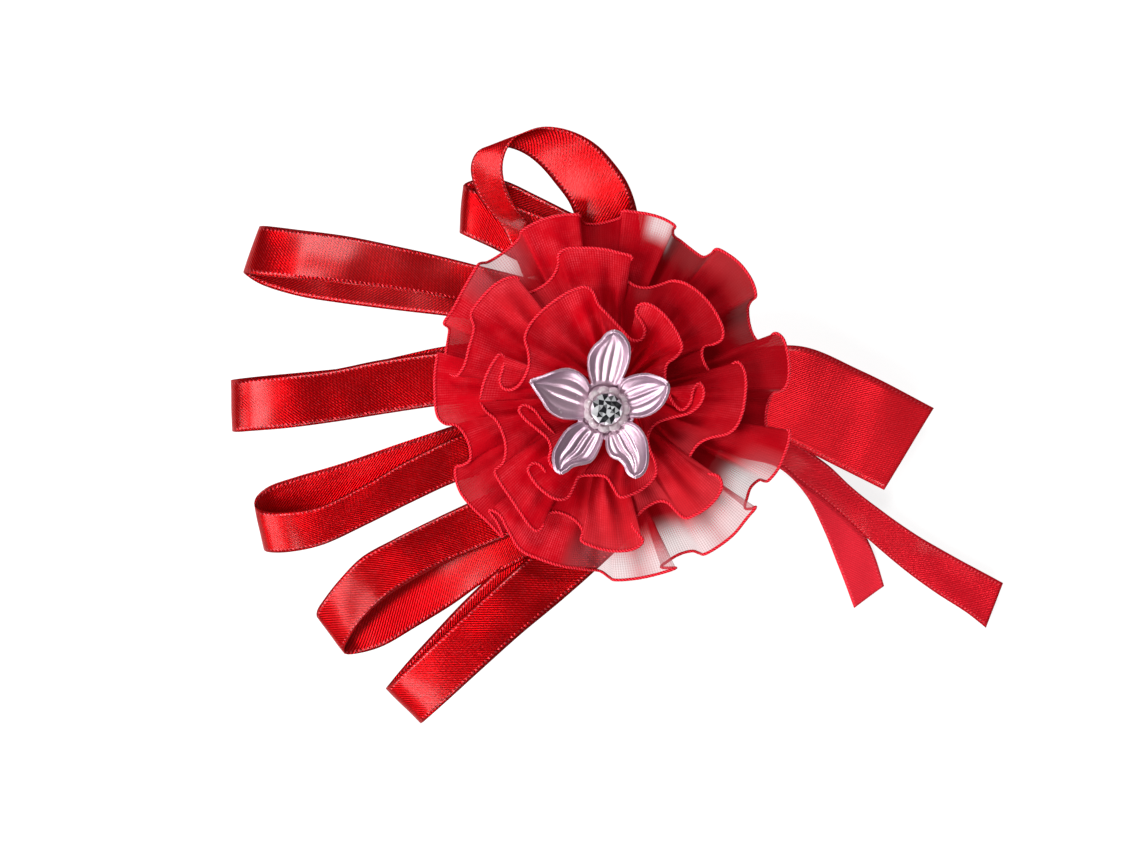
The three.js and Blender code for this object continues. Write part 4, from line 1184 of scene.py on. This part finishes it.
# %% [markdown]
# The flower is moulded in one piece, five fluted petals on a cupped hub, with a pearl coat. The
# petals could be sculpted from a block. Here each is a curved plate, given its thickness, and all
# are fused with the hub by remeshing, so the roots flow together as they do in a mould.

# %% Pearl flower
FLOWER_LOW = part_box("pearl_flower")[0].z / MM
FLOWER_PLACE = turned(-1.6, -3.2, 0)


def ring(count, radius, height, offset=0.0):
    """Points in a circle round the flower's axis, turned by a part of their spacing."""
    made = []
    for k in range(count):
        turn = 2 * math.pi * (k + offset) / count
        made.append(FLOWER_PLACE + Vector((
            math.cos(turn) * radius, math.sin(turn) * radius, height)) * MM)
    return made


def closed(name, corners, faces):
    """A body of corners and faces, with all faces turned outwards."""
    body = bmesh.new()
    points = [body.verts.new(corner) for corner in corners]
    for face in faces:
        body.faces.new([points[k] for k in face])
    bmesh.ops.recalc_face_normals(body, faces=body.faces)
    mesh = bpy.data.meshes.new(name)
    body.to_mesh(mesh)
    body.free()
    return linked(name, mesh)


def lathe(name, profile, segments):
    """A turned body round the flower's axis, from radii and heights over its underside."""
    corners = []
    rings = []
    for radius, height in profile:
        points = ring(segments if radius else 1, radius, FLOWER_LOW + height)
        rings.append(range(len(corners), len(corners) + len(points)))
        corners += points
    faces = []
    for lower, upper in zip(rings, rings[1:]):
        for k in range(segments):
            face = [level[step % len(level)] for level, step in (
                (lower, k), (lower, k + 1), (upper, k + 1), (upper, k))]
            faces.append(dict.fromkeys(face))  # a point on the axis counts once
    return closed(name, corners, faces)


# Each petal: its two long edges in the picture from the root to the tip, and how each lifts
PETAL_TABLE = [
    ([(592, 384), (588.5, 371), (588.5, 357), (594, 347), (601, 341), (606, 335), (613, 331.5)],
     [(618, 386), (625, 373), (629.4, 359), (629, 347), (625, 339), (620, 334), (613, 331.5)],
     0.5, 0.9),
    ([(584, 419), (571, 419.5), (560, 418), (549, 411), (542, 400), (536, 391), (530.5, 381.5)],
     [(590, 388), (585, 378), (576, 371), (566, 369), (555, 372), (544, 376.5), (530.5, 381.5)],
     0.3, 1.0),
    ([(604, 434), (599, 449), (591, 461), (579, 464), (572, 466), (567, 470), (561, 473)],
     [(582, 421), (568, 429), (559, 441), (553.5, 453), (553.5, 463), (556, 470), (561, 473)],
     0.9, 0.5),
    ([(626, 421), (637, 426), (645, 437), (647.5, 453), (646, 466), (641, 474), (634, 477)],
     [(606, 435), (607, 449), (611, 456), (619, 459.5), (624, 465), (628, 473), (634, 477)],
     1.0, 0.5),
    ([(618, 390), (623, 381), (633, 376), (645, 374.5), (655, 377), (662, 380), (667, 384)],
     [(629, 417), (643, 417), (655, 411.5), (663, 403), (667.5, 393), (668, 388), (667, 384)],
     1.0, 0.6),
]
PETAL_ROWS = 44
PETAL_COLUMNS = 34
PETAL_THICKNESS = 0.8
READ_HEIGHT = 4.5  # at which the petals' edges were read
ROOT_HEIGHT, TIP_RISE = 2.4, 4.0
FLUTE_DEPTH, FLUTES = 0.28, 4.6
RIM_LIFT, CUP_LIFT = 0.7, 1.7
VOXEL = 0.2

petals = []
for number, (left, right, left_lift, right_lift) in enumerate(PETAL_TABLE):
    edges = []
    for edge in (left, right):
        points = [spot(px, py, FLOWER_LOW + READ_HEIGHT) for px, py in edge]
        dense = spline(points, steps_per_span=30)
        (line,), _ = even([dense], 0.02 * MM)
        edges.append(line)
    rows = []
    for i in range(PETAL_ROWS + 1):
        out = i / PETAL_ROWS
        first, second = [line[round(out * (len(line) - 1))] for line in edges]
        spread = min(1.0, (second - first).length / (7 * MM))
        belly = math.sin(math.pi * min(1, 0.12 + out * 0.85))
        height = ROOT_HEIGHT + TIP_RISE * out
        row = []
        for j in range(PETAL_COLUMNS + 1):
            v = 2 * j / PETAL_COLUMNS - 1
            flute = FLUTE_DEPTH * math.cos(v * math.pi * FLUTES + number) * spread * belly ** 0.7
            flute *= max(0.0, 1 - abs(v)) ** 0.6 * max(0.0, 1 - (out / 0.92) ** 3)
            rim = RIM_LIFT * (max(0, abs(v) - 0.6) / 0.4) ** 2 * spread
            lift = left_lift if v < 0 else right_lift
            cup = CUP_LIFT * lift * v * v * (0.25 + 0.75 * out)
            point = first.lerp(second, j / PETAL_COLUMNS)
            point.z = (FLOWER_LOW + height + flute + rim + cup) * MM
            row.append(point)
        rows.append(row)
    petal = cloth(f"petal_{number}", rows, along=1, across=1)
    modified(petal, "SOLIDIFY", thickness=PETAL_THICKNESS * MM, offset=0)
    petals.append(petal)
hub = lathe("pearl_flower_moulded", [
    (0, 0), (3.9, 0), (5.6, 1.7), (6.4, 3.2), (5.65, 3.2), (5.6, 2.4), (0, 2.4),
], segments=96)
only(hub)
for petal in petals:
    petal.select_set(True)
bpy.ops.object.join()
flower = bpy.context.object
flower.data.remesh_voxel_size = VOXEL * MM
bpy.ops.object.voxel_remesh()
modified(flower, "SMOOTH", factor=0.5, iterations=6)
smooth(flower.data)

pearl = Finish("pearl_coat")
swirl = pearl.clouds(95.0, 2.0)
facing = pearl.node("LayerWeight", {}, {"Blend": 0.4}, "Facing")
painted_rim_light_and_groove_shade = pearl.node("NewGeometry", {}, {}, "Pointiness")
tint = pearl.mix(swirl.ramp(0.4, 0.65), (0.56, 0.37, 0.46, 1), (0.42, 0.27, 0.36, 1))
# Painted highlight: the sharpest rims and ridges are painted near white. Painted shade: the hollow
# grooves are painted dark mauve.
tint = pearl.mix((painted_rim_light_and_groove_shade.ramp(0.515, 0.62) * 0.5).clamped(), tint, (0.98, 0.88, 0.92, 1))
tint = pearl.mix((painted_rim_light_and_groove_shade.ramp(0.49, 0.42) * 0.4).clamped(), tint, (0.30, 0.18, 0.25, 1))
pearl.shader({
    "Base Color": pearl.mix((facing * 0.6).clamped(), tint, (0.34, 0.22, 0.32, 1)),
    "Roughness": 0.38,
    "Metallic": 0.72,
    "Coat Weight": 1.0,
    "Coat Roughness": 0.28,
    "Normal": pearl.bump(swirl, 0.0001, 0.15),
})
flower.data.materials.append(pearl.material)
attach(flower, FIXED)
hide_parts("pearl_flower")
print("flower faces:", len(flower.data.polygons))

# %% [markdown]
# A clear cup holds the stone on the hub. The stone is cut with a table and a crown of facets over
# a foil back. Each facet is painted at random near black or near white, a painted reflection
# that makes it sparkle.

# %% Cup and stone
SCALLOPS = 11
NOTCH_FROM, NOTCH_IN, NOTCH_DOWN = 3.8, 0.45, 0.5
cup = lathe("stone_cup_clear", [
    (0, 2.72), (4.5, 2.72), (5.0, 3.4), (5.15, 4.3), (4.95, 4.9), (4.5, 5.2), (3.95, 5.3),
    (3.7, 5.1), (3.65, 4.5), (0, 3.85),
], segments=132)
for vertex in cup.data.vertices:
    arm = Vector((vertex.co.x - FLOWER_PLACE.x, vertex.co.y - FLOWER_PLACE.y, 0))
    if arm.length > NOTCH_FROM * MM:
        notch = 1 - abs(math.sin(math.atan2(arm.y, arm.x) * SCALLOPS / 2)) ** 0.7
        vertex.co -= arm.normalized() * notch * NOTCH_IN * MM
        vertex.co.z -= notch * NOTCH_DOWN * MM * min(1, (arm.length / MM - NOTCH_FROM) / 0.7)
smooth(cup.data)
cup_finish = Finish("clear_pearl")
cup_cloud = cup_finish.clouds(320.0, 2.0)
cup_finish.shader({
    "Base Color": cup_finish.mix(
        cup_cloud.ramp(0.35, 0.65), (1.0, 0.9, 0.93, 1), (0.86, 0.66, 0.73, 1)),
    "Roughness": 0.06,
    "Transmission Weight": 0.62,
    "IOR": 1.5,
    "Coat Weight": 0.8,
})
cup.data.materials.append(cup_finish.material)
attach(cup, FIXED)
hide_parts("stone_cup")

STONE_LOW = FLOWER_LOW + 4.65
STONE_RADIUS = 3.45


def cut_stone(name):
    """A round brilliant: table, star, kite and girdle facets over a pavilion."""
    top = STONE_LOW + 3.1
    corners = ring(8, 1.95, top) + ring(8, 2.75, top - 0.5, 0.5)
    corners += ring(16, STONE_RADIUS, top - 1.35) + ring(16, STONE_RADIUS, top - 1.6)
    corners += ring(8, 1.7, STONE_LOW + 0.35, 0.5) + ring(1, 0, STONE_LOW)
    corners += ring(8, 1.1, top, 0.5) + ring(1, 0, top)
    # Where the points of each ring start in that list, after the eight round the table
    star, girdle, under, pavilion, tip, inside, centre = 8, 16, 32, 48, 56, 57, 65
    faces = []
    for k in range(8):
        after = (k + 1) % 8
        faces += [(k, inside + k, after), (after, inside + k, inside + after)]
        faces.append((inside + k, centre, inside + after))
    for k in range(8):
        after, before = (k + 1) % 8, (k - 1) % 8
        near, past, last = [girdle + (2 * k + step) % 16 for step in range(3)]
        faces += [(k, star + k, after), (k, star + before, near), (k, near, star + k)]
        faces += [(star + k, near, past), (star + k, past, last)]
    for k in range(16):
        after = (k + 1) % 16
        faces.append((girdle + k, under + k, under + after, girdle + after))
    for k in range(8):
        low_point, before = pavilion + k, pavilion + (k - 1) % 8
        near, past, last = [under + (2 * k + step) % 16 for step in range(3)]
        faces += [(near, low_point, past), (past, low_point, last), (near, before, low_point)]
        faces.append((before, tip, low_point))
    return closed(name, corners, faces)


stone = cut_stone("cut_stone")
stone_finish = Finish("cut_glass")
# Painted reflection: each facet's colour is drawn at random, near black or near white
painted_sparkle_values = stone.data.attributes.new("painted_sparkle", "FLOAT", "FACE")
painted_sparkle_values.data.foreach_set("value", [random.random() ** 2 for _ in stone.data.polygons])
painted_sparkle = stone_finish.kept("painted_sparkle")
stone_finish.shader({
    "Base Color": stone_finish.mix(
        painted_sparkle.ramp(0.05, 0.36), (0.02, 0.02, 0.025, 1), (0.97, 0.97, 1.0, 1)),
    "Roughness": 0.04,
    "Metallic": 0.55,
    "Coat Weight": 1.0,
    "Coat Roughness": 0.02,
})
stone.data.materials.append(stone_finish.material)
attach(stone, FIXED)
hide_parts("rhinestone")
print("stone facets:", len(stone.data.polygons))

# %% Finish
print("solids", [round(v * 1000, 1) for corner in cad_box for v in corner])
